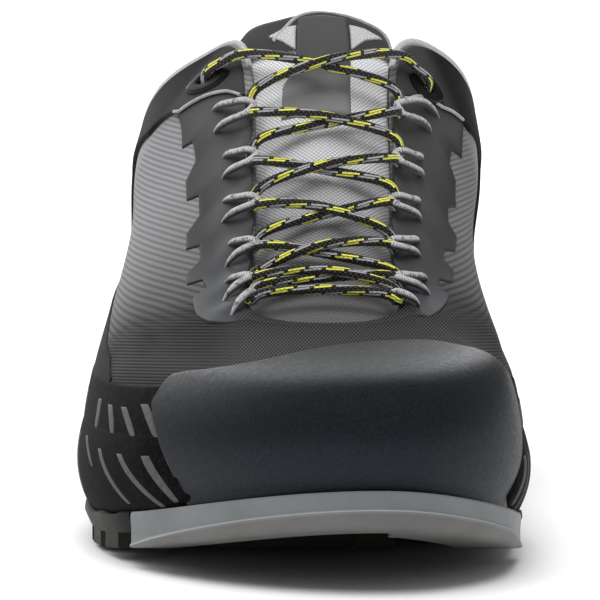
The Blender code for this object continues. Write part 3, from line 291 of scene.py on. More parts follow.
def ring_curvature(values):
    count = len(values)
    system = 4 * np.eye(count) + np.roll(np.eye(count), 1, 0) + np.roll(np.eye(count), -1, 0)
    return np.linalg.solve(system, 6 * (np.roll(values, -1, 0) - 2 * values + np.roll(values, 1, 0)))


VALUES = section_values()
CURVATURE = ring_curvature(VALUES)


def at_place(places):
    """The table's values at places round the shoe, in sections from the heel."""
    low = np.floor(places)
    i = low.astype(int) % COUNT
    j = (i + 1) % COUNT
    return spline((VALUES[i], VALUES[j]), (CURVATURE[i], CURVATURE[j]), (places - low)[:, None])


def outline_frame(places):
    """Widest points in plan, with their outward and forward directions."""
    here = at_place(places)[:, :2]
    step = at_place(places + PLACE_STEP)[:, :2] - at_place(places - PLACE_STEP)[:, :2]
    forward = unit(step)
    outward = np.stack([forward[:, 1], -forward[:, 0]], 1)
    return here, outward, forward


def outline_point(places, out):
    here, outward, _ = outline_frame(places)
    return here + np.broadcast_to(out, places.shape)[:, None] * outward


def controls(places):
    """Feather edge, widest point, knee, brow and opening of the section at each place."""
    row = at_place(places)
    wide, outward, forward = outline_frame(places)
    slide = np.sum((row[:, 6:8] - wide) * forward, 1)[:, None] * forward
    feather = wide - FEATHER_TUCK * outward
    feather_z = footbed_z(along(feather[:, 1])) + GAP
    knee = wide - row[:, 2:3] * outward + KNEE_SLIDE * slide
    brow = wide - row[:, 4:5] * outward + BROW_SLIDE * slide
    plan = np.stack([feather, wide, knee, brow, row[:, 6:8]], 1)
    heights = np.stack([feather_z, feather_z + FEATHER_RISE, row[:, 3], row[:, 5], row[:, 8]], 1)
    return np.concatenate([plan, heights[:, :, None]], 2)


def skin(places, ts):
    """Points of the upper's outer face: t runs from the feather edge (0) to the opening (1)."""
    points = controls(places)
    steps = np.sqrt(steps_along(points, 1))
    knots = running(steps, 1) / steps.sum(1)[:, None]
    spans = np.diff(knots, axis=1)
    slopes = np.diff(points, axis=1) / spans[:, :, None]
    system = np.zeros((len(places), 3, 3))
    for k in range(3):
        system[:, k, k] = 2 * (spans[:, k] + spans[:, k + 1])
    for k in range(2):
        system[:, k, k + 1] = spans[:, k + 1]
        system[:, k + 1, k] = spans[:, k + 1]
    bends = np.zeros_like(points)
    bends[:, 1:4] = np.linalg.solve(system, 6 * np.diff(slopes, axis=1))
    rows = np.arange(len(places))[:, None]
    i = np.sum(ts[:, :, None] > knots[:, None, 1:-1], axis=2)
    span = spans[rows, i][..., None]
    part = (ts - knots[rows, i])[..., None] / span
    bent = (bends[rows, i] * span ** 2, bends[rows, i + 1] * span ** 2)
    return spline((points[rows, i], points[rows, i + 1]), bent, part)


def skin_normals(places, ts):
    around = skin(places + PLACE_STEP, ts) - skin(places - PLACE_STEP, ts)
    up = skin(places, np.minimum(ts + T_STEP, 1)) - skin(places, np.maximum(ts - T_STEP, 0))
    return unit(np.cross(around, up))


def walked(places):
    """Distances walked up the wall at the sample steps of t."""
    return walk(skin(places, np.tile(WALL_SAMPLES, (len(places), 1))), 1)


def wall_length(places):
    return walked(places)[:, -1]


def reach_at_height(places, heights):
    """Distance up the wall at which each place reaches a height."""
    points = skin(places, np.tile(WALL_SAMPLES, (len(places), 1)))
    lengths = walk(points, 1)
    rising = np.maximum.accumulate(points[:, :, 2], axis=1)
    return np.array([np.interp(h, z, row) for h, z, row in zip(heights, rising, lengths)])


# Soft creases where the forefoot bends: place and distance up the wall in millimetres of the middle,
# half lengths round and up the wall, and depth
Crease = namedtuple("Crease", "place reach half_round half_up depth")
CREASES = [Crease(8.75, 33, 0.34, 3.2, -0.55), Crease(8.95, 41, 0.4, 3.0, 0.4),
           Crease(9.2, 47, 0.5, 3.0, -0.5), Crease(16.0, 32, 0.34, 3.2, -0.5),
           Crease(15.75, 39, 0.4, 3.0, 0.4), Crease(15.4, 45, 0.5, 3.0, -0.45),
           Crease(3.6, 47, 0.6, 4.0, -0.7), Crease(20.4, 47, 0.6, 4.0, -0.7)]


def crease_height(places, reach):
    height = np.zeros_like(reach)
    for crease in CREASES:
        across = ((places % COUNT)[:, None] - crease.place) / crease.half_round
        up = (reach - crease.reach * MM) / (crease.half_up * MM)
        height += crease.depth * MM * np.exp(-across ** 2 - up ** 2)
    return height


def wall_at(places, reach):
    """Points and outward normals at distances up the wall; below its foot the wall drops straight."""
    lengths = walked(places)
    ts = np.array([np.interp(r, row, WALL_SAMPLES) for r, row in zip(reach, lengths)])
    normals = skin_normals(places, ts)
    points = skin(places, ts) + crease_height(places, reach)[..., None] * normals
    points[..., 2] += np.minimum(reach, 0)
    past = np.maximum(reach - lengths[:, -1:], 0)
    edge = np.ones((len(places), 1))
    rise = unit(skin(places, edge) - skin(places, edge - T_STEP))
    return points + past[..., None] * rise, normals


def spot(place, depth, offset):
    """One point at a distance down from the opening and an offset from the wall."""
    places = np.array([float(place)])
    points, normals = wall_at(places, (wall_length(places) - depth)[:, None])
    return points[0, 0] + offset * normals[0, 0]


def mirrored(place):
    return COUNT - place


def lateral_place(places):
    turned = places % COUNT
    return np.minimum(turned, mirrored(turned))


def on_lateral(places):
    return places % COUNT <= COUNT / 2


def table_at(table, places):
    return np.interp(places, [row[0] for row in table], [row[1] for row in table])


def by_side(places, lateral, medial):
    """Values of one table on the lateral side, and of another on the medial side."""
    near = lateral_place(places)
    return np.where(on_lateral(places), table_at(lateral, near), table_at(medial, near))


def smooth_path(stops, count=None, spacing=None):
    """Curve through stops, cut into a count of even steps, or into steps of a spacing."""
    stops = np.array(stops, float)
    flat = stops.reshape(len(stops), -1)
    knots = running(np.sqrt(steps_along(flat)))
    slopes = np.gradient(flat, knots, axis=0)
    fine = np.linspace(0, knots[-1], FINE_STEPS * len(stops))
    i = np.clip(np.searchsorted(knots, fine) - 1, 0, len(stops) - 2)
    span = (knots[i + 1] - knots[i])[:, None]
    part = (fine - knots[i])[:, None] / span
    curve = hermite((flat[i], flat[i + 1]), (slopes[i], slopes[i + 1]), span, part)
    length = walk(curve)
    if count is None:
        count = max(int(length[-1] / spacing), 4)
    even = np.linspace(0, length[-1], count)
    rows = [np.interp(even, length, column) for column in curve.T]
    return np.stack(rows, 1).reshape(count, *stops.shape[1:])


# Mesh helpers


def numbers(n, m):
    """Point numbers of a grid."""
    return np.arange(n * m).reshape(n, m)


def closed(grid, axis):
    """A grid with its first row or column again at its end."""
    return np.concatenate([grid, np.take(grid, [0], axis=axis)], axis=axis)


def quads(index):
    """Corner numbers of the faces of a grid of point numbers."""
    corners = [index[:-1, :-1], index[1:, :-1], index[1:, 1:], index[:-1, 1:]]
    return np.stack(corners, -1).reshape(-1, 4)


def strip(first, second):
    """Faces between two rows of point numbers."""
    return np.stack([first[:-1], first[1:], second[1:], second[:-1]], -1)


def placed(name, data):
    """New object in the scene."""
    item = bpy.data.objects.new(name, data)
    bpy.context.scene.collection.objects.link(item)
    return item


def make(name, points, faces, flat=None, flat_faces=None):
    """Object from points and faces, with a UV map in metres where flat coordinates are given."""
    mesh = bpy.data.meshes.new(name)
    mesh.from_pydata(np.reshape(points, (-1, 3)).tolist(), [], [list(face) for face in faces])
    if flat is not None:
        layer = mesh.uv_layers.new(name="UVMap")
        corners = np.concatenate([np.asarray(face) for face in flat_faces])
        layer.data.foreach_set("uv", np.reshape(flat, (-1, 2))[corners].astype(np.float32).ravel())
    mesh.shade_smooth()
    return placed(name, mesh)


def lengths_along(points, wrap):
    """Mean distance walked along the columns of a grid, and along its rows."""
    ring = closed(points, 0) if wrap else points
    return running(steps_along(ring, 0).mean(1)), running(steps_along(points, 1).mean(0))


def slab(name, outer, inner, wrap=False):
    """Closed solid between two grids of points: an outer face, an inner face and rims."""
    n, m = outer.shape[:2]
    u, v = lengths_along(outer, wrap)
    flat = np.stack(np.meshgrid(u, v, indexing="ij"), -1)
    blocks = []
    for count, ring in ((n, wrap), (len(flat), False)):
        front = numbers(count, m)
        if ring:
            front = closed(front, 0)
        back = front + count * m
        faces = [quads(front), quads(back)[:, ::-1]]
        faces += [strip(front[::-1, 0], back[::-1, 0]), strip(front[:, -1], back[:, -1])]
        if not wrap:
            faces += [strip(front[0], back[0]), strip(front[-1, ::-1], back[-1, ::-1])]
        blocks.append(np.concatenate(faces))
    points = np.concatenate([outer.reshape(-1, 3), inner.reshape(-1, 3)])
    return make(name, points, blocks[0], np.concatenate([flat.reshape(-1, 2)] * 2), blocks[1])


def edge_round(distance, edge):
    """Height of a quarter-round edge at a distance from it, as a share of its full height."""
    return np.sqrt(1 - (1 - np.clip(distance / edge, 0, 1)) ** 2)


def edge_distance(points, axis):
    """Distance of each point of a grid from the nearer end of its row along an axis."""
    length = walk(points, axis)
    return np.minimum(length, np.take(length, [-1], axis=axis) - length)


def raised(name, points, normals, thick, edge, sink=0.3 * MM):
    """Closed layer that stands on a surface, with rounded edges."""
    height = edge_round(edge_distance(points, 1), edge) * edge_round(edge_distance(points, 0), edge)
    lift = height * np.broadcast_to(thick, height.shape)
    return slab(name, points + lift[..., None] * normals, points - sink * normals)


def spread(low, high, edge, count):
    """Rows from low to high for each column, close together near both ends."""
    length = np.asarray(high) - low
    limit = np.minimum(edge, length / 3)[:, None]
    near = limit * (1 - np.cos(EDGE_ANGLES))
    middle = limit + (length[:, None] - 2 * limit) * np.linspace(0, 1, count)
    rows = np.concatenate([near[:, :-1], middle, length[:, None] - near[:, ::-1][:, 1:]], 1)
    return np.asarray(low)[:, None] + rows


def place_columns(first, last, per_section, extra=()):
    """Places from first to last, closer together near both ends."""
    count = max(int((last - first) * per_section), 4)
    places = list(np.linspace(first, last, count))
    places += [first + step for step in END_STEPS] + [last - step for step in END_STEPS]
    return np.array(sorted(set(np.round(places + list(extra), 5))))


def hose(name, rings, u, v):
    """Closed solid from a row of rings, with a UV map of the distances along it and round it."""
    n, m = rings.shape[:2]
    index, flat_index = numbers(n, m), numbers(n, m + 1)
    flat = np.stack(np.meshgrid(u, v, indexing="ij"), -1)
    faces = [*quads(closed(index, 1))[:, ::-1], index[0], index[-1, ::-1]]
    flat_faces = [*quads(flat_index)[:, ::-1], flat_index[0, :-1], flat_index[-1, :0:-1]]
    return make(name, rings, faces, flat, flat_faces)


def tube(name, path, radius, sides):
    """Round cord along a path, with its length in metres and its turn as a UV map."""
    path = np.asarray(path)
    tangents = unit(np.gradient(path, axis=0))
    side = np.cross(tangents[0], (0, 0, 1) if abs(tangents[0][2]) < 0.9 else (1, 0, 0))
    frames = []
    for tangent in tangents:
        side = unit(side - tangent * np.dot(side, tangent))
        frames.append((side, np.cross(tangent, side)))
    angles = np.linspace(0, 2 * np.pi, sides, endpoint=False)
    frames = np.array(frames)
    rings = frames[:, :1] * np.cos(angles)[:, None] + frames[:, 1:] * np.sin(angles)[:, None]
    points = path[:, None] + np.broadcast_to(radius, len(path))[:, None, None] * rings
    return hose(name, points, walk(path), np.linspace(0, 1, sides + 1))


def joined(name, items):
    """One object from several, which keeps their UV maps."""
    form = bmesh.new()
    for item in items:
        form.from_mesh(item.data)
        bpy.data.objects.remove(item)
    mesh = bpy.data.meshes.new(name)
    form.to_mesh(mesh)
    form.free()
    return placed(name, mesh)


def shade_points(item, values):
    """Store a value for each point of a mesh, for its material."""
    layer = item.data.attributes.new("shade", "FLOAT", "POINT")
    layer.data.foreach_set("value", np.asarray(values, np.float32).ravel())


def shade_columns(item, values):
    """Store one value for each column of points of a slab."""
    rows = len(item.data.vertices) // (2 * len(values))
    shade_points(item, np.tile(np.repeat(values, rows), 2))


def upward(item):
    """How far the surface faces up at each point of a mesh, from -1 to 1."""
    normals = np.zeros(3 * len(item.data.vertices), np.float32)
    item.data.vertex_normals.foreach_get("vector", normals)
    return normals[2::3]


def dress(item, material, slot, *nodes):
    item.data.materials.clear()
    item.data.materials.append(material)
    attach(item, "root")
    if nodes:
        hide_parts(*nodes)
    return item


# Materials


STITCH_SHADE = 0.6
STRAND_COUNT = 8


class Look:
    """A Principled material under construction."""

    def __init__(self, name, roughness, **sockets):
        self.material = bpy.data.materials.new(name)
        self.material.use_nodes = True
        self.tree = self.material.node_tree
        self.shader = self.tree.nodes["Principled BSDF"]
        self.shader.inputs["Roughness"].default_value = roughness
        for key, value in sockets.items():
            self.shader.inputs[key.replace("_", " ")].default_value = value

    def node(self, kind, *values, **settings):
        item = self.tree.nodes.new("ShaderNode" + kind)
        for key, value in settings.items():
            setattr(item, key, value)
        for socket, value in zip(item.inputs, values):
            self.feed(socket, value)
        return item

    def feed(self, socket, value):
        if isinstance(value, bpy.types.NodeSocket):
            self.tree.links.new(value, socket)
        elif value is not None:
            socket.default_value = value

    def math(self, operation, *values):
        return self.node("Math", *values, operation=operation).outputs[0]

    def span(self, value, low, high, to_low=0.0, to_high=1.0):
        return self.node("MapRange", value, low, high, to_low, to_high).outputs[0]

    def times(self, first, second):
        return self.math("MULTIPLY", first, second)

    def plus(self, first, second):
        return self.math("ADD", first, second)

    def minus(self, first, second):
        return self.math("SUBTRACT", first, second)

    def size(self, value):
        return self.math("ABSOLUTE", value)

    def sine(self, value):
        return self.math("SINE", value)

    def wave(self, value, pitch):
        return self.sine(self.times(value, 2 * math.pi / pitch))

    def uv(self, u_scale=1 / MM, v_scale=1 / MM):
        """The UV map's two values, in millimetres unless other scales are given."""
        u, v, _ = self.node("SeparateXYZ", self.node("UVMap").outputs[0]).outputs
        return self.times(u, u_scale), self.times(v, v_scale)

    def place(self):
        return self.node("TexCoord").outputs["Object"]

    def axes(self):
        """The three coordinates in metres."""
        return self.node("SeparateXYZ", self.place()).outputs

    def noise(self, scale, detail=3.0):
        return self.node("TexNoise", self.place(), None, scale, detail).outputs[0]

    def cloud(self, scale, detail=3.0):
        """Soft patches, from 0 to 1."""
        return self.span(self.noise(scale, detail), 0.3, 0.7)

    def brick(self, mortar, smooth, width, row):
        """Staggered stitches of a width and a row height in millimetres, bright with dark gaps."""
        spot_at = self.node("CombineXYZ", *self.uv(), 0.0).outputs[0]
        colours = (STITCH_SHADE, STITCH_SHADE, STITCH_SHADE, 1), (1, 1, 1, 1), (0, 0, 0, 1)
        return self.node("TexBrick", spot_at, *colours, 1.0, mortar, smooth, 0.0, width, row).outputs[0]

    def strands(self, length, turn, pace):
        """Two sets of strands that wind round a cord against each other."""
        around = self.times(turn, STRAND_COUNT * 2 * math.pi)
        forward = self.times(length, pace)
        return self.sine(self.plus(around, forward)), self.sine(self.minus(around, forward))

    def shade(self):
        return self.node("Attribute", attribute_name="shade").outputs["Fac"]

    def mix(self, factor, first, second):
        item = self.node("Mix", data_type="RGBA")
        for socket, value in ((item.inputs[0], factor), (item.inputs[6], first), (item.inputs[7], second)):
            self.feed(socket, (*value, 1) if isinstance(value, tuple) else value)
        return item.outputs[2]

    def finish(self, colour, height=None, distance=0.2 * MM, strength=1.0, roughness=None):
        self.feed(self.shader.inputs["Base Color"], (*colour, 1) if isinstance(colour, tuple) else colour)
        if roughness is not None:
            self.feed(self.shader.inputs["Roughness"], roughness)
        if height is not None:
            bump = self.node("Bump")
            bump.inputs["Strength"].default_value = strength
            bump.inputs["Distance"].default_value = distance
            self.feed(bump.inputs["Height"], height)
            self.feed(self.shader.inputs["Normal"], bump.outputs[0])
        return self.material


def grey(level, tint=(1.0, 1.0, 1.0)):
    """Linear colour from an sRGB grey level of 0 to 255, with a tint."""
    share = level / 255
    linear = share / 12.92 if share < 0.04 else ((share + 0.055) / 1.055) ** 2.4
    return tuple(linear * part for part in tint)


# Tints
COOL = (0.95, 1.0, 1.1)
WARM = (1.0, 1.0, 0.86)
SIDE_TINT = (0.98, 0.98, 1.04)
FLANK_TINT = (1.04, 0.96, 1.04)
CAP_TINT = (0.88, 1.0, 1.2)
CAP_SHEEN = (0.86, 1.0, 1.18, 1)
ZONE_COOL = (0.94, 1.0, 1.03)
ZONE_WARM = (1.02, 1.0, 0.96)
YELLOW = (0.78, 0.77, 0.11)

# Cloth of the upper: pitches, and the flanks' distance from the middle, in millimetres
WEAVE_RIB = 1.27
RIB_SLOPE = 0.12
TWILL = 0.9
TWILL_LEAN = 0.12
FLANK = (24.0, 34.0)
FLANK_RIB = 0.78
FLANK_MIDDLE = 11.0
WEAVE_RELIEF = 0.2 * MM

# Where looks change, in metres along or up the shoe
REAR_Y = (0.034, 0.041)
FACING_FRONT_Y = (0.01, -0.05)
TREAD_SHADED_Y = (-0.075, -0.095)
FILM_TOP_Z = (0.106, 0.113)


def weave_heights(look):
    """Side ribs, dotted twill over the toes, the share of the toe's flanks, and their fine ribs."""
    x, y, z = (look.times(axis, 1 / MM) for axis in look.axes())
    u, _ = look.uv()
    level = look.minus(z, look.times(look.size(x), RIB_SLOPE))
    wobble = look.times(look.noise(90.0, 2.0), 0.3)
    turn = look.times(look.plus(level, wobble), 2 * math.pi / WEAVE_RIB)
    stitch = look.sine(look.plus(look.times(u, 5.5), look.times(turn, 0.5)))
    rib = look.times(look.span(look.sine(turn), -0.9, 0.6), look.span(stitch, -1.0, 0.6, 0.75, 1.0))
    up = look.plus(z, look.times(y, TWILL_LEAN))
    lines = look.wave(look.minus(x, up), TWILL)
    across = look.wave(look.plus(x, up), TWILL)
    dot = look.span(look.plus(lines, look.times(across, 0.7)), -0.3, 1.4)
    flank = look.span(look.size(look.minus(x, FLANK_MIDDLE)), *FLANK)
    fine = look.span(look.wave(up, FLANK_RIB), -0.9, 0.7)
    return rib, dot, flank, fine


def weave_look():
    """Cloth of the upper: light ribs on the sides, dark dotted twill over the toes, plain at the heel."""
    look = Look("upper_weave", 0.8, Specular_IOR_Level=0.15)
    rib, dot, flank, fine = weave_heights(look)
    shade = look.shade()
    side = look.mix(rib, grey(117), grey(147, SIDE_TINT))
    middle = look.mix(rib, grey(44), grey(74))
    vamp = look.mix(dot, grey(26), grey(84))
    toe = look.mix(flank, vamp, look.mix(fine, grey(16), grey(46, FLANK_TINT)))
    ribbed = look.span(shade, 0.08, 0.3)
    colour = look.mix(look.span(shade, 0.2, 0.95), look.mix(ribbed, toe, middle), side)
    rear = look.span(look.axes()[1], *REAR_Y)
    colour = look.mix(rear, colour, grey(140))
    height = look.mix(ribbed, look.mix(flank, dot, fine), rib)
    return look.finish(colour, look.mix(rear, height, grey(188)), WEAVE_RELIEF, 0.7)


def facing_look():
    """Smooth dark film that turns into the dotted cloth near the toe."""
    look = Look("facing_film", 0.55, Specular_IOR_Level=0.25)
    _, dot, _, _ = weave_heights(look)
    cloud = look.cloud(40.0)
    front = look.span(look.axes()[1], *FACING_FRONT_Y)
    warm = look.mix(cloud, grey(65), grey(73))
    film = look.mix(front, warm, look.mix(cloud, grey(60, COOL), grey(68, COOL)))
    _, from_edge = look.uv()
    film = look.mix(look.math("MAXIMUM", look.span(from_edge, 0.5, 7.0), front), grey(44), film)
    smooth = look.span(look.shade(), 0.1, 0.6)
    colour = look.mix(smooth, look.mix(dot, grey(26), grey(84)), film)
    height = look.mix(smooth, dot, look.times(look.noise(1800.0, 2.0), 0.25))
    return look.finish(colour, height, WEAVE_RELIEF, 0.7)


def film_look():
    """Smooth grey film on the middle of the tongue, with a faint cloth under it."""
    look = Look("tongue_film", 0.5, Specular_IOR_Level=0.25)
    top = look.span(look.axes()[2], *FILM_TOP_Z)
    cloud = look.cloud(40.0)
    colour = look.mix(top, look.mix(cloud, grey(124), grey(134)), look.mix(cloud, grey(70), grey(80)))
    height = look.plus(look.noise(1800.0, 2.0), look.times(look.noise(260.0, 2.0), 0.6))
    rough = look.span(look.noise(500.0, 2.0), 0.2, 0.8, 0.42, 0.6)
    return look.finish(colour, height, 0.05 * MM, 0.6, rough)


def panel_look():
    """Dense dark cloth of the collar and heel panels: film beside the throat, black beside the toes."""
    look = Look("panel_cloth", 0.75, Specular_IOR_Level=0.1)
    cloud = look.cloud(50.0)
    cloth = look.mix(cloud, grey(29), grey(37))
    film = look.mix(cloud, grey(60), grey(68))
    colour = look.mix(look.span(look.shade(), 0.0, 1.0), cloth, film)
    colour = look.mix(look.span(look.shade(), 0.0, -1.0), colour, look.mix(cloud, grey(9), grey(15)))
    return look.finish(colour, look.brick(0.08, 0.7, 0.55, 0.4), 0.08 * MM, 0.5)


def black_look():
    """Near-black mottled foam and rand."""
    look = Look("midsole_foam", 0.8, Specular_IOR_Level=0.06)
    colour = look.mix(look.span(look.noise(900.0), 0.45, 0.7), grey(9), grey(25))
    height = look.plus(look.noise(1300.0, 4.0), look.times(look.noise(180.0), 0.5))
    return look.finish(colour, height, 0.2 * MM, 0.6)


def bar_look():
    look = Look("bar_print", 0.7, Specular_IOR_Level=0.2)
    colour = look.mix(look.cloud(700.0), grey(74), grey(90))
    return look.finish(colour, look.noise(1500.0), 0.06 * MM, 0.5)


def cap_look():
    """Blue-grey rubber with a fine grain."""
    look = Look("toe_cap_rubber", 0.5, Specular_IOR_Level=0.2, Specular_Tint=CAP_SHEEN)
    grain = look.noise(1700.0, 4.0)
    colour = look.mix(look.span(grain, 0.35, 0.65), grey(17, CAP_TINT), grey(29, CAP_TINT))
    height = look.plus(grain, look.times(look.noise(300.0), 0.7))
    rough = look.span(look.noise(800.0), 0.2, 0.8, 0.4, 0.56)
    return look.finish(colour, height, 0.12 * MM, 0.6, rough)


def zone_look():
    """Light grey rubber, cool on its upright face and warm where it turns under, where it is also darker as
    painted shade; a painted highlight runs along the ridge.
    """
    look = Look("toe_zone_rubber", 0.5, Specular_IOR_Level=0.35)
    cloud = look.cloud(70.0, 4.0)
    face = look.mix(cloud, grey(110, ZONE_COOL), grey(123, ZONE_COOL))
    # Painted shade: the turned-under part is darker, as well as warmer, than the upright face
    under = look.mix(cloud, grey(96, ZONE_WARM), grey(108, ZONE_WARM))
    colour = look.mix(look.shade(), under, face)
    # Painted highlight: a light line along the ridge, where it catches the light
    colour = look.mix(look.span(look.shade(), 1.5, 2.0), colour, grey(160))
    height = look.plus(look.noise(1500.0), look.times(look.noise(120.0), 0.8))
    return look.finish(colour, height, 0.06 * MM, 0.5)


def tread_look():
    look = Look("tread_rubber", 0.75, Specular_IOR_Level=0.2)
    # Painted shade: the tread goes near black towards the toe, where the floor beneath it lies in shadow
    front = look.span(look.axes()[1], *TREAD_SHADED_Y)
    colour = look.mix(front, look.mix(look.cloud(120.0, 5.0), grey(55, WARM), grey(70, WARM)), grey(9))
    return look.finish(colour, look.noise(1100.0, 4.0), 0.15 * MM, 0.6)


def knit_look(name, low, high, stitch, row):
    """Soft knitted cloth with staggered stitches."""
    look = Look(name, 0.85, Sheen_Weight=0.25)
    brick = look.brick(0.14, 0.8, stitch, row)
    height = look.plus(brick, look.times(look.noise(1400.0), 0.6))
    return look.finish(look.mix(brick, low, high), height, 0.15 * MM, 0.7)


# Lace: lanes round it, four to a pair of dashes, and lengths in millimetres along it
LACE_LANES = 12.0
LACE_GROUP = 4.0
LACE_TWIST = 0.012
LACE_PERIOD = 11.0
LACE_DASH = 0.4
LACE_PALE = 0.5
LACE_PIN = 1.3


def lace_look():
    """Black braid with staggered pairs of thin yellow and light grey dashes."""
    look = Look("lace_braid", 0.65, Sheen_Weight=0.1)
    v, u = look.uv(v_scale=1.0)
    lanes = look.times(look.plus(u, look.times(v, LACE_TWIST)), LACE_LANES)
    lane = look.math("FLOOR", lanes)
    pair = look.math("FLOOR", look.math("DIVIDE", lane, LACE_GROUP))
    in_pair = look.math("MODULO", lane, LACE_GROUP)
    middle = look.size(look.minus(look.math("FRACT", lanes), 0.5))
    lit = look.times(look.math("LESS_THAN", in_pair, 1.5), look.math("LESS_THAN", middle, 0.36))
    shift = look.plus(look.times(pair, 0.37), look.times(in_pair, 0.13))
    phase = look.math("FRACT", look.plus(look.math("DIVIDE", v, LACE_PERIOD), shift))
    yellow = look.times(look.math("LESS_THAN", phase, LACE_DASH), lit)
    begun = look.math("GREATER_THAN", phase, LACE_PALE)
    pale = look.times(look.times(begun, look.math("LESS_THAN", phase, LACE_PALE + LACE_DASH)), lit)
    pin = look.times(look.wave(lanes, 2.0), look.wave(v, LACE_PIN))
    ground = look.mix(look.span(pin, 0.66, 0.86), grey(14), grey(104))
    colour = look.mix(pale, look.mix(yellow, ground, YELLOW), grey(168))
    braid = look.math("MAXIMUM", *look.strands(v, u, 5.0))
    return look.finish(colour, braid, 0.12 * MM, 0.7)


def cord_look(name, low, high):
    """Light grey cord with a fine braid, with painted shade that darkens it where its points' stored shade
    value is low, as on the loops' undersides.
    """
    look = Look(name, 0.7, Sheen_Weight=0.2)
    v, u = look.uv(v_scale=1.0)
    braid = look.times(*look.strands(v, u, 6.0))
    fleck = look.span(look.noise(700.0, 2.0), 0.28, 0.5, -1.0, 0.6)
    colour = look.mix(look.span(look.plus(braid, fleck), -1.0, 1.0), low, high)
    # Painted shade: darkens the cord where its points face down, from the stored shade value
    under = look.span(look.shade(), 0.2, -0.55)
    return look.finish(look.mix(under, colour, grey(26)), braid, 0.1 * MM, 0.6)


def eyelet_look():
    look = Look("eyelet_plastic", 0.35, Specular_IOR_Level=0.2)
    colour = look.mix(look.cloud(200.0), grey(10, COOL), grey(18, COOL))
    return look.finish(colour, look.noise(900.0), 0.03 * MM, 0.4)


def felt_look():
    look = Look("insole_felt", 0.9, Sheen_Weight=0.3)
    colour = look.mix(look.span(look.noise(900.0, 4.0), 0.35, 0.65), grey(34), grey(62))
    return look.finish(colour, look.noise(1500.0, 4.0), 0.2 * MM, 0.7)


TONGUE_CELL = 1.2
TONGUE_TINT = (0.98, 0.98, 1.03)


def tongue_look():
    """Silver diamond mesh between the laces, darker towards its lower end as painted shade under the laces,
    dark cloth at the top.
    """
    look = Look("tongue_knit", 0.7, Sheen_Weight=0.2)
    turns = math.pi / TONGUE_CELL / MM
    v, u = look.uv(turns, turns)
    first, second = (look.size(look.sine(way)) for way in (look.plus(u, v), look.minus(u, v)))
    net = look.math("MINIMUM", first, second)
    # Painted shade: the knit is darker where the stored shade value is low, towards the tongue's lower end
    # under the laces
    shade = look.span(look.shade(), 0.0, 1.0)
    top = look.span(look.shade(), -0.4, -0.6)
    dark = look.mix(shade, grey(52), grey(168))
    light = look.mix(shade, grey(112), grey(244, TONGUE_TINT))
    mesh = look.mix(look.span(net, 0.12, 0.5), dark, light)
    relief = look.times(net, look.span(top, 0.0, 1.0, 1.0, 0.12))
    return look.finish(look.mix(top, mesh, grey(52)), relief, 0.25 * MM, 0.7)


# Sole


def ring_places():
    return np.arange(RING_COLUMNS) * COUNT / RING_COLUMNS


def ladder(ring):
    """Faces across a closed ring of point numbers, from each lateral point to its medial one."""
    count = len(ring)
    faces = [(ring[0], ring[1], ring[-1])]
    for j in range(1, count // 2 - 1):
        faces.append((ring[j], ring[j + 1], ring[count - j - 1], ring[count - j]))
    faces.append((ring[count // 2 - 1], ring[count // 2], ring[count // 2 + 1]))
    return faces


def plate(name, chains):
    """Closed solid from a ring of side profiles, with ladders across its foot and its top."""
    n, m = chains.shape[:2]
    index = numbers(n, m)
    faces = [tuple(face) for face in quads(closed(index, 0))]
    faces += [tuple(reversed(face)) for face in ladder(list(index[:, 0]))]
    faces += ladder(list(index[:, -1]))
    return make(name, chains, faces)


ZONE_PLACES = (29 / 3, 46 / 3)
ZONE_BAND = 8 * MM
ZONE_PAD = 15 * MM
PAD_PLACES = (12.12, 12.18)


def zone_depth(places):
    return np.interp(places, PAD_PLACES, (ZONE_BAND, ZONE_PAD))


RIM_WAVES = 46
RIM_WAVE = 0.35 * MM
RIM_SHARE = 0.7
STEP_MARGIN = 0.02


def outsole_base():
    """Plate of the outsole, with a wavy rim and a step behind the toe zone."""
    first, last = ZONE_PLACES
    steps = [first - STEP_MARGIN, first, last, last + STEP_MARGIN]
    places = np.sort(np.concatenate([ring_places(), steps]))
    places = places[:len(places) // 2 * 2]
    inside = (places > first - STEP_MARGIN / 2) & (places < last + STEP_MARGIN / 2)
    step = np.where(inside, -zone_depth(places) - GAP, 0.0)
    chains = []
    for share, out in OUTSOLE_SIDE:
        plan = outline_point(places, np.where(inside, step, out))
        a = along(plan[:, 1])
        low = tread_z(a) + LUG_DEPTH
        wave = RIM_WAVE * np.sin(places / COUNT * 2 * np.pi * RIM_WAVES) * (share > RIM_SHARE)
        chains.append(np.column_stack([plan, low + (outsole_top(a) - low) * share + wave]))
    return plate("outsole_base", np.stack(chains, 1))


EdgeRow = namedtuple("EdgeRow", "first pitch count")
EDGE_ROWS = [EdgeRow(0.45, 0.62, 4), EdgeRow(7.0, 0.5, 5), EdgeRow(16.0, 0.5, 4), EdgeRow(21.2, 0.62, 4)]
EDGE_LUG_WIDTH = 0.33
EDGE_LUG_DEPTH = 13 * MM
EDGE_LUG_INSET = 0.8 * MM
ChevronRow = namedtuple("ChevronRow", "first pitch count half_width point")
CHEVRON_ROWS = [ChevronRow(32, 14, 3, 15, -4), ChevronRow(162, 16, 5, 22, 6), ChevronRow(242, 14, 2, 12, 4)]
CHEVRON_LENGTH = 8 * MM
SOLE_MIDDLE = 0.8 * MM
LUG_BEVEL = 0.5 * MM
LUG_SINK = 1 * MM
LUG_SHARP = math.radians(40)


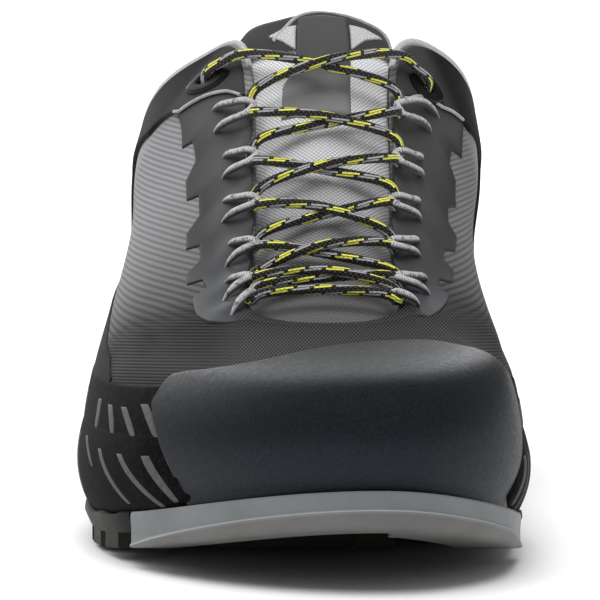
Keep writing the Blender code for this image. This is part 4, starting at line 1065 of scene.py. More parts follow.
def lug(plan):
    """Upright lug on a plan outline, from the tread's face into the plate, with a bevelled face."""
    plan = np.array(plan)
    middle = plan.mean(0)
    rings = []
    for inset, rise in ((LUG_BEVEL, 0.0), (0.0, LUG_BEVEL), (0.0, LUG_DEPTH + LUG_SINK)):
        ring = plan - inset * unit(plan - middle)
        rings.append(np.column_stack([ring, tread_z(along(ring[:, 1])) + rise]))
    count = len(plan)
    faces = [tuple(range(count))[::-1], tuple(range(2 * count, 3 * count))]
    for r in range(2):
        for i in range(count):
            j = (i + 1) % count
            faces.append((r * count + i, r * count + j, r * count + count + j, r * count + count + i))
    return make("lug", np.concatenate(rings), faces)


def edge_lug(place):
    spots = np.array([place, place + EDGE_LUG_WIDTH])
    outer = outline_point(spots, -EDGE_LUG_INSET)
    inner = outline_point(spots, -EDGE_LUG_DEPTH)
    return lug([outer[0], outer[1], inner[1], inner[0]])


def chevron_lug(a, half_width, point):
    x, y = SOLE_MIDDLE, along(a)
    back = y + CHEVRON_LENGTH
    return lug([(x - half_width, y), (x, y - point), (x + half_width, y),
                (x + half_width, back), (x, back - point), (x - half_width, back)])


def add_outsole():
    items = [outsole_base()]
    for row in EDGE_ROWS:
        items += [edge_lug(row.first + k * row.pitch) for k in range(row.count)]
    for row in CHEVRON_ROWS:
        items += [chevron_lug((row.first + k * row.pitch) * MM, row.half_width * MM, row.point * MM)
                  for k in range(row.count)]
    for item in items:
        item.data.set_sharp_from_angle(angle=LUG_SHARP)
    return dress(joined("outsole_tread", items), tread_look(), "tread_rubber", "outsole")


ZONE_BEVEL = 3.6 * MM
ZONE_BEVEL_IN = 3 * MM
ZONE_FOOT_IN = 0.4 * MM
ZONE_RIDGE = 0.5 * MM
ZONE_SHARP = math.radians(30)
# Upright face: share of its height and millimetres out from the outline
ZONE_FACE = [(0.0, 0.95), (0.1, 0.5), (0.5, 0.45), (0.9, 0.75), (1.0, 0.35)]


def add_toe_zone():
    """Grip edge of the toe: an upright face, a ridge and a rounded lower edge that turns under."""
    first, last = ZONE_PLACES
    places = np.sort(np.append(np.linspace(first, last, 170), PAD_PLACES))
    size = 1 - (2 * (places - first) / (last - first) - 1) ** 4
    foot_out = -ZONE_BEVEL_IN * size - ZONE_FOOT_IN
    ridge_out = ZONE_FACE[0][1] * MM
    ridge = outline_point(places, ridge_out)
    ridge_z = tread_z(along(ridge[:, 1])) + ZONE_BEVEL * size + ZONE_RIDGE
    inner = outline_point(places, -zone_depth(places))
    rows = [np.column_stack([inner, tread_z(along(inner[:, 1]))])]
    for angle in np.linspace(0, np.pi / 2, 8):
        plan = outline_point(places, foot_out + (ridge_out - foot_out) * math.sin(angle))
        foot_z = tread_z(along(plan[:, 1]))
        rows.append(np.column_stack([plan, foot_z + (ridge_z - foot_z) * (1 - math.cos(angle))]))
    turned_under = len(rows)
    for share, out in ZONE_FACE[1:]:
        plan = outline_point(places, out * MM)
        rows.append(np.column_stack([plan, ridge_z + (outsole_top(along(plan[:, 1])) - ridge_z) * share]))
    rows.append(np.column_stack([inner, outsole_top(along(inner[:, 1]))]))
    grid = np.stack(rows, 1)
    n, m = grid.shape[:2]
    index = numbers(n, m)
    faces = [tuple(face) for face in quads(closed(index, 1))]
    faces += [tuple(index[0][::-1]), tuple(index[-1])]
    item = make("toe_zone_edge", grid, faces)
    item.data.set_sharp_from_angle(angle=ZONE_SHARP)
    # Shade 1 on the upright face and 0 where it turns under, which the material paints darker as shade
    shades = np.where(np.arange(m) >= turned_under, 1.0, 0.0)
    # Shade 2 on the ridge row, which the material paints as a highlight
    shades[turned_under - 1] = 2.0
    shade_points(item, np.tile(shades, (n, 1)))
    return dress(item, zone_look(), "toe_zone_rubber", "toe_zone")


def midsole_top(places):
    return footbed_z(along(outline_point(places, 0.0)[:, 1])) + MIDSOLE_WALL


def cap_cover(places, heights):
    """How far a place lies in front of the toe cap's nearer end at a height, in sections."""
    lateral = np.interp(heights, *zip(*[(z * MM, place) for z, place in CAP_END_LATERAL]))
    medial = np.interp(heights, *zip(*[(z * MM, place) for z, place in CAP_END_MEDIAL]))
    turned = np.broadcast_to((places % COUNT)[:, None], heights.shape)
    return np.where(turned <= COUNT / 2, turned - lateral, medial - turned)


def top_out(places):
    """How far the top of the midsole stands out from the outline, flush with the rand."""
    reach = reach_at_height(places, midsole_top(places))
    points, normals = wall_at(places, reach[:, None])
    edge = points[:, 0] + RAND_THICK * normals[:, 0]
    here, outward, _ = outline_frame(places)
    return np.sum((edge[:, :2] - here) * outward, 1)


SOLE_SEAM = 0.1 * MM
# How far the midsole draws in at the toe cap, and from where to where in sections past the cap's end
CAP_TUCKS = [(1.3 * MM, -0.3, 0.0), (2.5 * MM, 0.03, 0.09)]


def side_at(places, shares):
    """Points on the midsole's side at shares of its height, one row for each place."""
    outs = [np.full(len(places), out) for out in MIDSOLE_OUTS] + [top_out(places)]
    here, outward, _ = outline_frame(places)
    total = np.zeros(shares.shape)
    for i, own in enumerate(MIDSOLE_SHARES):
        weight = np.ones(shares.shape)
        for other in MIDSOLE_SHARES:
            if other != own:
                weight = weight * (shares - other) / (own - other)
        total += weight * outs[i][:, None]
    plan = here[:, None] + total[..., None] * outward[:, None]
    low = outsole_top(along(plan[..., 1])) + SOLE_SEAM
    z = low + (midsole_top(places)[:, None] - low) * shares
    points = np.concatenate([plan, z[..., None]], 2)
    cover = cap_cover(places, z)
    tuck = sum(depth * ramp(cover, first, last) for depth, first, last in CAP_TUCKS)
    points[..., :2] -= tuck[..., None] * outward[:, None]
    return points


MIDSOLE_ROWS = 22
LIP_ROUND = (0.3 * MM, 0.25 * MM)
LIP_WIDTH = 4.5 * MM
LIP_THICK = 1 * MM
CUP_THICK = 12 * MM


def add_midsole():
    """Foam cup: its bulging side, its top edge and an inner face behind the upper's wall."""
    places = ring_places()
    shares = np.tile(np.linspace(0, 1, MIDSOLE_ROWS), (len(places), 1))
    side = side_at(places, shares)
    _, outward, _ = outline_frame(places)
    inward = -np.column_stack([outward, np.zeros(len(places))])
    top = side[:, -1]
    lip = np.stack([top + inward * LIP_ROUND[0] + (0, 0, LIP_ROUND[1]), top + inward * LIP_WIDTH], 1)
    foot = side[:, :1] + inward[:, None] * CUP_THICK
    head = lip[:, -1:] - (0, 0, LIP_THICK)
    outer = np.concatenate([side, lip], 1)
    inner = foot + (head - foot) * np.linspace(0, 1, outer.shape[1])[None, :, None]
    return dress(slab("midsole_cup", outer, inner, wrap=True), black_look(), "midsole_foam", "midsole")


# Insole: distance in from the outline and height above the footbed, in millimetres
INSOLE_PROFILE = [(6.2, 0.6), (5.6, 1.2), (5.4, 3.6), (6.2, 4.6), (9.0, 4.6), (14.0, 4.0)]


def add_insole():
    rows = []
    for inset, rise in INSOLE_PROFILE:
        plan = outline_point(ring_places(), -inset * MM)
        rows.append(np.column_stack([plan, footbed_z(along(plan[:, 1])) + rise * MM]))
    return dress(plate("insole_felt", np.stack(rows, 1)), felt_look(), "insole_felt", "insole")


# Upper and the layers on it


MEDIAL_SHADE = 0.66
SIDE_FADE = (122 * MM, 224 * MM)
COLLAR_ROUND = 1.2 * MM


def add_upper():
    places = ring_places()
    length = wall_length(places)
    reach = spread(np.zeros(len(places)), length, COLLAR_ROUND, 60)
    points, normals = wall_at(places, reach)
    round_top = WALL / 2 * (1 - edge_round(length[:, None] - reach, COLLAR_ROUND))
    outer = points - round_top[..., None] * normals
    inner = points - (WALL - round_top)[..., None] * normals
    item = slab("upper_shell", outer, inner, wrap=True)
    shade = 1 - ramp(along(outer[..., 1]), *SIDE_FADE)
    shade = shade * np.where(on_lateral(places), 1.0, MEDIAL_SHADE)[:, None]
    shade_points(item, np.concatenate([shade.ravel(), 0 * shade.ravel()]))
    return dress(item, weave_look(), "upper_weave", "upper")


PANEL_EDGE = 0.7 * MM
PANEL_LEAST = 1 * MM
PANEL_THINNED = 0.6 * MM
PANEL_FILM = (5.1, 5.6)
SEAM = 0.4 * MM


def collar_low(places):
    return wall_length(places) - by_side(places, COLLAR_BAND_LATERAL, COLLAR_BAND_MEDIAL) * MM


def add_collar_panel(look):
    places = place_columns(COUNT - COLLAR_END, COUNT + COLLAR_END, 16)
    low = collar_low(places)
    high = np.maximum(wall_length(places) - COLLAR_EDGE, low + PANEL_LEAST)
    points, normals = wall_at(places, spread(low, high, PANEL_EDGE, 22))
    thick = FILM - PANEL_THINNED * np.linspace(0, 1, points.shape[1])
    item = raised("collar_cloth", points, normals, thick, PANEL_EDGE)
    shade_columns(item, ramp(lateral_place(places), *PANEL_FILM))
    return dress(item, look, "overlay_film", "collar_panel")


def rand_top(places):
    return reach_at_height(places, midsole_top(places) + RAND_HEIGHT)


COUNTER_THICK = 0.9 * MM
COUNTER_THINNED = 0.6
COUNTER_THINS = (4, 8)
COUNTER_EDGE = 0.6 * MM
COUNTER_LAP = 1 * MM
COUNTER_BLACK = (5.8, 7.2)


def add_counter(look):
    places = place_columns(COUNT - COUNTER_MEDIAL[-1][0], COUNT + COUNTER_LATERAL[-1][0], 14)
    near = lateral_place(places)
    low = rand_top(places) - COUNTER_LAP
    rise = by_side(places, COUNTER_LATERAL, COUNTER_MEDIAL) * MM
    high = np.minimum(collar_low(places) - SEAM, low + rise)
    points, normals = wall_at(places, spread(low, high, COUNTER_EDGE, 20))
    thick = COUNTER_THICK * (1 - COUNTER_THINNED * ramp(near, *COUNTER_THINS))
    item = raised("heel_wrap", points, normals, thick[:, None], COUNTER_EDGE)
    shade_columns(item, np.where(on_lateral(places), -ramp(near, *COUNTER_BLACK), 0.0))
    return dress(item, look, "overlay_film", "heel_counter")


RAND_ENDS = (8.7, 10.5)
RAND_EDGE = 0.9 * MM
RAND_LAP = 2 * MM
RAND_THINNED = 0.5 * MM
RAND_UNDER_CAP = 0.3 * MM


def add_rand(look):
    """Dark wrap above the midsole, which runs under the toe cap's ends."""
    places = place_columns(COUNT - RAND_ENDS[0], COUNT + RAND_ENDS[1], 14)
    low = reach_at_height(places, midsole_top(places) - RAND_LAP)
    points, normals = wall_at(places, spread(low, rand_top(places), RAND_EDGE, 16))
    cover = ramp(cap_cover(places, points[..., 2]), -0.2, 0.0)
    thick = RAND_THICK - RAND_THINNED * np.linspace(0, 1, points.shape[1]) - RAND_UNDER_CAP * cover
    item = raised("rand_wrap", points, normals, thick, RAND_EDGE)
    return dress(item, look, "overlay_film", "rand")


def facing_edge(facing):
    """Places and depths of a facing's stepped outer edge, from collar to toe."""
    steps = [(facing.start, table_at(facing.depths, facing.start))]
    for k in range(TOOTH_COUNT):
        for part, notch in facing.tooth:
            place = facing.first_tooth + (k + part) * facing.pitch
            steps.append((place, table_at(facing.depths, place) - notch * facing.notch))
    return steps + [row for row in facing.depths if row[0] > steps[-1][0]]


LOOP_WAVE = 1.5 * MM
LOOP_WAVE_DEPTH = 8 * MM


def throat_wave(places, depth):
    """Rise of the facing's inner edge between the loops, where the lace pulls it up."""
    near = lateral_place(places)
    centres = sorted(row.place for row in LOOP_SETS)
    phase = np.interp(near, centres, np.arange(len(centres)))
    wave = 0.5 - 0.5 * np.cos(2 * np.pi * phase)
    return LOOP_WAVE * wave[:, None] * np.exp(-(depth / LOOP_WAVE_DEPTH) ** 2)


FACING_EDGE = 0.35 * MM
FACING_THINNED = 0.95
CORNER_STEPS = (-0.006, 0, 0.006)
UNDER_COLLAR = COLLAR_END + 0.03


def add_eyestay(look):
    edges = [facing_edge(FACING_LATERAL), facing_edge(FACING_MEDIAL)]
    ends = (FACING_LATERAL.start, mirrored(FACING_MEDIAL.start))
    corners = [place for place, _ in edges[0] if place < COUNT / 2]
    corners += [mirrored(place) for place, _ in edges[1] if place < COUNT / 2]
    shifted = [corner + step for corner in corners for step in CORNER_STEPS]
    places = place_columns(*ends, 24, [place for place in shifted if ends[0] < place < ends[1]])
    near = lateral_place(places)
    length = wall_length(places)
    top = np.where(near < UNDER_COLLAR, collar_low(places) - SEAM, length)
    reach = spread(length - by_side(places, *edges) * MM, top, FACING_EDGE, 26)
    points, normals = wall_at(places, reach)
    points = points + throat_wave(places, length[:, None] - reach)[..., None] * normals
    fade = np.where(on_lateral(places), ramp(near, *FACING_LATERAL.fade), ramp(near, *FACING_MEDIAL.fade))
    thick = FACING_THICK * (1 - FACING_THINNED * fade[:, None])
    item = raised("facing_film", points, normals, thick, FACING_EDGE)
    shade_columns(item, 1 - fade)
    return dress(item, look, "overlay_film", "eyestay")


PIPING_LATERAL = (5.62, 6.44)
PIPING_MEDIAL = (5.22, 6.44)
PIPING_RADIUS = 0.45 * MM
PIPING_DROP = 0.2 * MM
PIPING_SINK = 0.1 * MM


def add_piping(look):
    """Light cord between the collar's cloth and the facing."""
    for side, ends in (("lateral", PIPING_LATERAL), ("medial", PIPING_MEDIAL)):
        places = np.linspace(*ends, 40)
        if side == "medial":
            places = mirrored(places)
        points, normals = wall_at(places, (collar_low(places) - PIPING_DROP)[:, None])
        path = points[:, 0] + (FILM - PIPING_SINK) * normals[:, 0]
        dress(tube(f"collar_piping_{side}", path, PIPING_RADIUS, 10), look, "lining_knit")


# Grey bars on the side of the sole: place and height at the head and at the foot of each.
# Low bars use shares of the midsole's height, high bars millimetres above its top.
Bar = namedtuple("Bar", "head_place head foot_place foot")
LOW_BARS = [Bar(8.7, 0.87, 9.03, 0.55), Bar(9.17, 0.78, 9.66, 0.1), Bar(9.58, 0.75, 10.08, 0.02),
            Bar(9.95, 0.73, 10.22, 0.06)]
LOW_BARS += [Bar(3.28 + 0.5 * k, 0.84, 3.5 + 0.5 * k, 0.2) for k in range(11)]
HIGH_BARS = [Bar(8.9, 6.6, 8.93, -0.3), Bar(9.22, 6, 9.36, -0.6), Bar(9.52, 6, 9.74, -0.8),
             Bar(9.86, 6.9, 10.06, -0.6)]
HIGH_BARS += [Bar(6.9 + 0.42 * k, 6.4, 6.95 + 0.42 * k, -0.3) for k in range(4)]
MEDIAL_BAR_SHIFT = 0.7
LOW_BAR_HALF = 0.042
HIGH_BAR_HALF = 0.056
BAR_BOW = -0.014
BAR_RISE = 0.15 * MM
BAR_SINK = 0.4 * MM
BAR_NARROWED = 0.4
BAR_GRID = (16, 7)


def low_side(places, shares):
    return side_at(places, shares[:, None])[:, 0]


def high_side(places, heights):
    reach = reach_at_height(places, midsole_top(places) + heights * MM)
    points, normals = wall_at(places, reach[:, None])
    up = np.clip(heights / (RAND_HEIGHT / MM), 0, 1)
    return points[:, 0] + (RAND_THICK - RAND_THINNED * up)[:, None] * normals[:, 0]


def bar(row, surface, width, medial):
    """Thin raised bar, bowed a little and narrower at its foot."""
    steps = np.linspace(0, 1, BAR_GRID[0])
    middle = row.head_place + (row.foot_place - row.head_place) * steps - BAR_BOW * np.sin(np.pi * steps)
    half = width * (1 - BAR_NARROWED * steps ** 3)
    places = middle[None] + half[None] * np.linspace(-1, 1, BAR_GRID[1])[:, None]
    heights = np.repeat((row.head + (row.foot - row.head) * steps)[None], BAR_GRID[1], 0)
    if medial:
        places = mirrored(places - MEDIAL_BAR_SHIFT)[::-1]
    places, heights = places[:, ::-1], heights[:, ::-1]
    points = surface(places.ravel(), heights.ravel()).reshape(*places.shape, 3)
    normals = unit(np.cross(np.gradient(points, axis=0), np.gradient(points, axis=1)))
    return raised("bar", points, normals, BAR_RISE, BAR_RISE, sink=BAR_SINK)


def add_bars():
    items = []
    for medial in (False, True):
        items += [bar(row, low_side, LOW_BAR_HALF, medial) for row in LOW_BARS]
        items += [bar(row, high_side, HIGH_BAR_HALF, medial) for row in HIGH_BARS]
    return dress(joined("side_bars", items), bar_look(), "midsole_foam")


def cap_table(places):
    """Top edge of the toe cap as a distance up the wall, on a smooth curve through the table."""
    rows = np.array(CAP_TOP_REACH)
    slopes = np.gradient(rows[:, 1], rows[:, 0])
    i = np.clip(np.searchsorted(rows[:, 0], places) - 1, 0, len(rows) - 2)
    span = rows[i + 1, 0] - rows[i, 0]
    part = np.clip((places - rows[i, 0]) / span, 0, 1)
    return hermite((rows[i, 1], rows[i + 1, 1]), (slopes[i], slopes[i + 1]), span, part) * MM


CAP_CORNERS = (0.22, 0.4)
CAP_EDGE = 1.3 * MM
CAP_TAPER = 0.6
CAP_THINNED = 0.5
CAP_CLEAR = 0.2 * MM
CAP_LEAST = 0.5 * MM


def cap_low(places):
    """Lower edge of the cap: the sole in front, the slanted ends behind."""
    feet, _ = wall_at(places, np.zeros((len(places), 1)))
    foot_z = feet[:, 0, 2]
    sole = outsole_top(along(feet[:, 0, 1])) + CAP_CLEAR
    lateral = table_at([(place, z) for z, place in reversed(CAP_END_LATERAL)], places) * MM
    medial = table_at([(place, z) for z, place in CAP_END_MEDIAL], places) * MM
    heights = np.where(places < COUNT / 2, lateral, medial)
    inside = (places > CAP_END_LATERAL[0][1]) & (places < CAP_END_MEDIAL[0][1])
    heights = np.where(inside, sole, np.maximum(heights, sole))
    return np.where(heights > foot_z, reach_at_height(places, heights), heights - foot_z)


def add_toe_cap():
    """Rubber cap with slanted, rounded ends and a thick soft edge."""
    ends = (CAP_END_LATERAL[-1][1], CAP_END_MEDIAL[-1][1])
    places = place_columns(*ends, 46)
    low = cap_low(places)
    share = np.ones(len(places))
    for end, sign, corner in ((ends[0], 1, CAP_CORNERS[0]), (ends[1], -1, CAP_CORNERS[1])):
        part = np.clip((places - end) * sign / corner, 0, 1)
        share = share * np.sqrt(1 - (1 - part) ** 2)
    high = np.maximum(low + (cap_table(places) - low) * share, low + CAP_LEAST)
    points, normals = wall_at(places, spread(low, high, CAP_EDGE, 44))
    thick = CAP_THICK * (1 - CAP_THINNED * ramp(places, ends[1] - CAP_TAPER, ends[1]))
    item = raised("toe_cap_shell", points, normals, thick[:, None], CAP_EDGE)
    return dress(item, cap_look(), "toe_cap_rubber", "toe_cap")


# Collar lining: distance inward from the wall and height above the collar's edge, in millimetres
LINING_PROFILE = [(0.6, -3.4), (-0.5, -2.6), (-0.9, -1.4), (-0.5, -0.3), (1.0, 0.2), (3.2, 0), (5.2, -1.8),
                  (6.4, -5), (6.6, -11), (5.4, -17), (3.6, -21.5), (2.4, -22.5), (1.9, -20), (1.9, -12)]
LINING_TAPER = (5.0, 6.2)
LINING_THINNED = 0.62
LINING_END = 6.2


def add_lining():
    """Padded lining of the collar, rolled over its edge."""
    places = place_columns(COUNT - LINING_END, COUNT + LINING_END, 16)
    length = wall_length(places)
    profile = smooth_path([*LINING_PROFILE, LINING_PROFILE[0]], 48)[:-1] * MM
    taper = 1 - LINING_THINNED * ramp(lateral_place(places), *LINING_TAPER)
    rise = taper[:, None] * profile[None, :, 1]
    points, normals = wall_at(places, np.minimum(length[:, None], length[:, None] + rise))
    grid = points - (taper[:, None] * profile[None, :, 0])[..., None] * normals
    grid[..., 2] += np.maximum(rise, 0)
    u, v = lengths_along(grid, False)
    item = hose("collar_roll", grid, u, np.append(v, v[-1] + v[1]))
    knit = knit_look("lining_knit", grey(160), grey(212), 0.9, 0.7)
    return dress(item, knit, "lining_knit", "collar_lining")


def tongue_rows():
    """Rows of seven points across the tongue, from under the vamp to its rounded top."""
    rows = [[spot(place, TONGUE_TOE_DEPTH, -TONGUE_UNDER) for place in TONGUE_TOE_PLACES]]
    for rung in TONGUE_RUNGS:
        other = mirrored(rung.place)
        first, last = spot(rung.place, 0, -TONGUE_UNDER), spot(other, 0, -TONGUE_UNDER)
        rise, _ = throat_rise(rung.place)
        row = [spot(rung.place, rung.flap * MM, -TONGUE_UNDER)]
        for share in TONGUE_SHARES:
            row.append(first + (last - first) * share + rise * rung.crown * MM * 4 * share * (1 - share))
        rows.append(row + [spot(other, rung.flap * MM, -TONGUE_UNDER)])
    top = np.array(rows[-1])
    lean = unit((top - np.array(rows[-2]))[3])
    middle = (top[0] + top[-1]) / 2
    for row in TONGUE_TOPS:
        flare = middle + (top - middle) * np.array([row.width, 1, 1])
        flare[:, 0] -= np.array(TONGUE_SPREAD) * row.reach / TONGUE_TOPS[-1].reach * MM
        rows.append(flare + (np.array(TONGUE_ARCH)[:, None] * row.arch + row.reach) * lean * MM)
    return np.array(rows)


def throat_rise(place):
    """Direction up from the throat at a place, and the middle between its edges there."""
    places = np.array([place, mirrored(place)], float)
    points, normals = wall_at(places, wall_length(places)[:, None])
    rise = normals[0, 0] + normals[1, 0]
    return unit(rise), points[:, 0].mean(0)


TONGUE_GRID = (150, 64)
# Binding: shares along and across the tongue
TONGUE_BINDING = [(0.94, 0.25), (0.965, 0.32), (0.986, 0.39), (0.994, 0.46), (0.995, 0.55), (0.994, 0.65),
                  (0.99, 0.76), (0.982, 0.88), (0.955, 0.965)]
BINDING_RADIUS = 0.55 * MM
TONGUE_EDGE = 2 * MM
TONGUE_PAD = 0.72 * MM
PAD_STARTS = (0.7, 0.95)
TONGUE_PAINTED_SHADE = (0.25, 0.8)
TONGUE_DARK = (0.895, 0.915)
PATCH_GRID = (40, 24)
PATCH_EDGE = 0.5 * MM
PATCH_CLEAR = 0.05 * MM
FILM_RISE = 0.7 * MM
SILVER_RISE = 0.4 * MM


def tongue_surface():
    """Fine grid over the tongue, along it and across it, with upward normals."""
    rows = smooth_path(tongue_rows(), TONGUE_GRID[0])
    grid = np.stack([smooth_path(row, TONGUE_GRID[1]) for row in rows])
    return grid, unit(np.cross(np.gradient(grid, axis=1), np.gradient(grid, axis=0)))


def sample_grid(grid, rows, columns):
    """Values between the points of a grid, at fractional rows and columns."""
    i = np.clip(rows.astype(int), 0, grid.shape[0] - 2)
    j = np.clip(columns.astype(int), 0, grid.shape[1] - 2)
    p, q = (rows - i)[..., None], (columns - j)[..., None]
    near = grid[i, j] * (1 - q) + grid[i, j + 1] * q
    far = grid[i + 1, j] * (1 - q) + grid[i + 1, j + 1] * q
    return near * (1 - p) + far * p


# Panels on the tongue: share along it, and the shares across it of the panel's two sides
PatchRow = namedtuple("PatchRow", "along left right")
TONGUE_FILM = [PatchRow(0.735, 0.272, 0.669), PatchRow(0.82, 0.276, 0.672), PatchRow(0.87, 0.35, 0.678),
               PatchRow(0.92, 0.378, 0.672), PatchRow(0.985, 0.394, 0.655)]
TONGUE_SILVER_LATERAL = [PatchRow(0.912, 0.362, 0.37), PatchRow(0.935, 0.3, 0.376),
                         PatchRow(0.953, 0.225, 0.38), PatchRow(0.967, 0.33, 0.385)]
TONGUE_SILVER_MEDIAL = [PatchRow(0.912, 0.682, 0.69), PatchRow(0.94, 0.678, 0.76),
                        PatchRow(0.958, 0.674, 0.86), PatchRow(0.97, 0.67, 0.75)]


def tongue_patch(name, rows, grid, normals, thick):
    """Raised panel on the tongue between the sides that its rows give."""
    steps = np.linspace(rows[0].along, rows[-1].along, PATCH_GRID[0])
    left = np.interp(steps, [row.along for row in rows], [row.left for row in rows])
    right = np.interp(steps, [row.along for row in rows], [row.right for row in rows])
    across = left[:, None] + (right - left)[:, None] * np.linspace(0, 1, PATCH_GRID[1])
    spots = np.repeat(steps[:, None], PATCH_GRID[1], 1) * (TONGUE_GRID[0] - 1)
    columns = across * (TONGUE_GRID[1] - 1)
    points, lifts = (sample_grid(values, spots, columns).transpose(1, 0, 2) for values in (grid, normals))
    return raised(name, points, lifts, thick, PATCH_EDGE)


def add_tongue(film, pale):
    grid, normals = tongue_surface()
    share = np.linspace(0, 1, len(grid))
    edge = edge_round(np.minimum(edge_distance(grid, 0), edge_distance(grid, 1)), TONGUE_EDGE)
    lift = (edge - 1) * TONGUE_THICK / 2 + edge * TONGUE_PAD * ramp(share, *PAD_STARTS)[:, None]
    depth = -TONGUE_THICK / 2 - edge * TONGUE_THICK / 2
    faces = [(grid + rise[..., None] * normals).transpose(1, 0, 2) for rise in (lift, depth)]
    item = slab("tongue_pad", *faces)
    top = ramp(share, *TONGUE_DARK)
    # Painted shade: the knit darkens towards the lower end of the tongue, in the throat under the laces
    shade_points(item, np.tile(ramp(share, *TONGUE_PAINTED_SHADE) * (1 - top) - top, 2 * grid.shape[1]))
    dress(item, tongue_look(), "tongue_knit", "tongue")
    base = grid + (lift + PATCH_CLEAR)[..., None] * normals
    dress(tongue_patch("tongue_centre", TONGUE_FILM, base, normals, FILM_RISE), film, "tongue_knit")
    silver = knit_look("tongue_silver", grey(168), grey(232), 0.7, 0.5)
    for side, rows in (("lateral", TONGUE_SILVER_LATERAL), ("medial", TONGUE_SILVER_MEDIAL)):
        patch = tongue_patch(f"tongue_silver_{side}", rows, base, normals, SILVER_RISE)
        dress(patch, silver, "tongue_knit")
    binding = np.array(TONGUE_BINDING) * (np.array(TONGUE_GRID) - 1)
    path = smooth_path(sample_grid(base, binding[:, 0], binding[:, 1]), spacing=CORD_STEP)
    dress(tube("tongue_binding", path, BINDING_RADIUS, 10), pale, "tongue_knit")


# Cords


def throat_inward(place):
    return unit(spot(place, 0, 0) - spot(place, THROAT_STEP, 0))


def edge_spot(place, inward, offset):
    """Point past the throat's edge, at a distance inward and an offset from the wall."""
    return spot(place, 0, offset) + throat_inward(place) * inward


def loop_place(level, upper):
    row = LOOP_SETS[level]
    if row.count == 1:
        return row.place
    return row.place - LOOP_SPLIT if upper else row.place + LOOP_SPLIT


def strand(lateral_first):
    """Route of one end of the lace, from the middle of the bar to its top eyelet."""
    def on_side(place, lateral):
        return place if lateral else mirrored(place)

    lateral = lateral_first
    lift = 0.0 if lateral_first else LACE_LAP
    bar_place = LOOP_SETS[0].place + LACE_FIRST_SPLIT
    rise, _ = throat_rise(bar_place)
    ends = [edge_spot(on_side(bar_place, side), LACE_INWARD, LACE_HEIGHT) for side in (True, False)]
    route = [(ends[0] + ends[1]) / 2 + rise * LACE_BOW, ends[0] if lateral else ends[1]]
    for level in range(len(LOOP_SETS)):
        leave = loop_place(level, True) - (LACE_FIRST_SPLIT if level == 0 else 0)
        route.append(edge_spot(on_side(LOOP_SETS[level].place, lateral), *LACE_TURN))
        start = edge_spot(on_side(leave, lateral), LACE_INWARD, LACE_HEIGHT)
        route.append(start)
        if level == len(LOOP_SETS) - 1:
            break
        end = edge_spot(on_side(loop_place(level + 1, False), not lateral), LACE_INWARD, LACE_HEIGHT)
        rise, _ = throat_rise(leave)
        route += [(start + end) / 2 + rise * (LACE_BOW + lift), end]
        lateral = not lateral
    rise, middle = throat_rise(TOP_CROSSING_PLACE)
    route.append(middle + rise * (TOP_CROSSING_RISE + lift))
    for place, depth in TOP_WAYS:
        route.append(spot(on_side(place, not lateral), depth, FILM + LACE_RADIUS + TOP_CLEAR))
    target = on_side(EYELET_PLACE, not lateral)
    route.append(spot(target, EYELET_DEPTH - EYELET_WAY, FILM + LACE_RADIUS))
    route.append(spot(target, EYELET_DEPTH + EYELET_WAY, -LACE_END_SINK))
    return route


def add_lace():
    route = strand(True)[::-1] + strand(False)[1:]
    path = smooth_path(route, spacing=LACE_STEP)
    item = tube("lace_cord", path, LACE_RADIUS, 20)
    nodes = ["lace_bar"] + [f"lace_crossing_{level}" for level in range(len(LOOP_SETS))]
    return dress(item, lace_look(), "lace_braid", *nodes)


def loop_leg(hole, end, depth):
    """Half of a loop: out of its hole in the facing and over towards its end at the throat."""
    route = []
    for share, height in LOOP_ARCH:
        route.append(spot(hole + (end - hole) * share, depth * (1 - share), height * MM))
    return route


def loop_radius(path, both_ends):
    """Radius along a loop, drawn thin where its ends go into their holes."""
    length = walk(path)
    from_end = np.minimum(length, length[-1] - length) if both_ends else length
    return LOOP_RADIUS * (LOOP_TIP + (1 - LOOP_TIP) * ramp(from_end, 0, LOOP_TAPER))


def add_loops(look):
    for side, holes in (("lateral", HOLES_LATERAL), ("medial", HOLES_MEDIAL)):
        turn = mirrored if side == "medial" else float
        for level, (row, hole) in enumerate(zip(LOOP_SETS, holes)):
            upper = turn(row.place - LOOP_HALF)
            lower = turn(row.place + LOOP_HALF)
            nodes = [f"lace_loop_{side}_{level}_0"]
            end = edge_spot(turn(row.place), *LOOP_NOSE)
            route = loop_leg(turn(row.place + hole.upper), upper, hole.depth * MM)
            route += [edge_spot(upper, *LOOP_SHOULDER), end]
            if row.count == 2:
                route.append(edge_spot(lower, *LOOP_SHOULDER))
                route += loop_leg(turn(row.place + hole.lower), lower, hole.depth * MM)[::-1]
                nodes.append(f"lace_loop_{side}_{level}_1")
            else:
                route.append(edge_spot(lower, *LOOP_FOOT))
            path = smooth_path(route, spacing=CORD_STEP)
            radius = loop_radius(path, row.count == 2)
            item = tube(f"loop_cord_{side}_{level}", path, radius, 14)
            # Painted shade: store how far each point faces up, so that the material darkens the loops'
            # undersides
            shade_points(item, upward(item))
            dress(item, look, "loop_cord", *nodes)


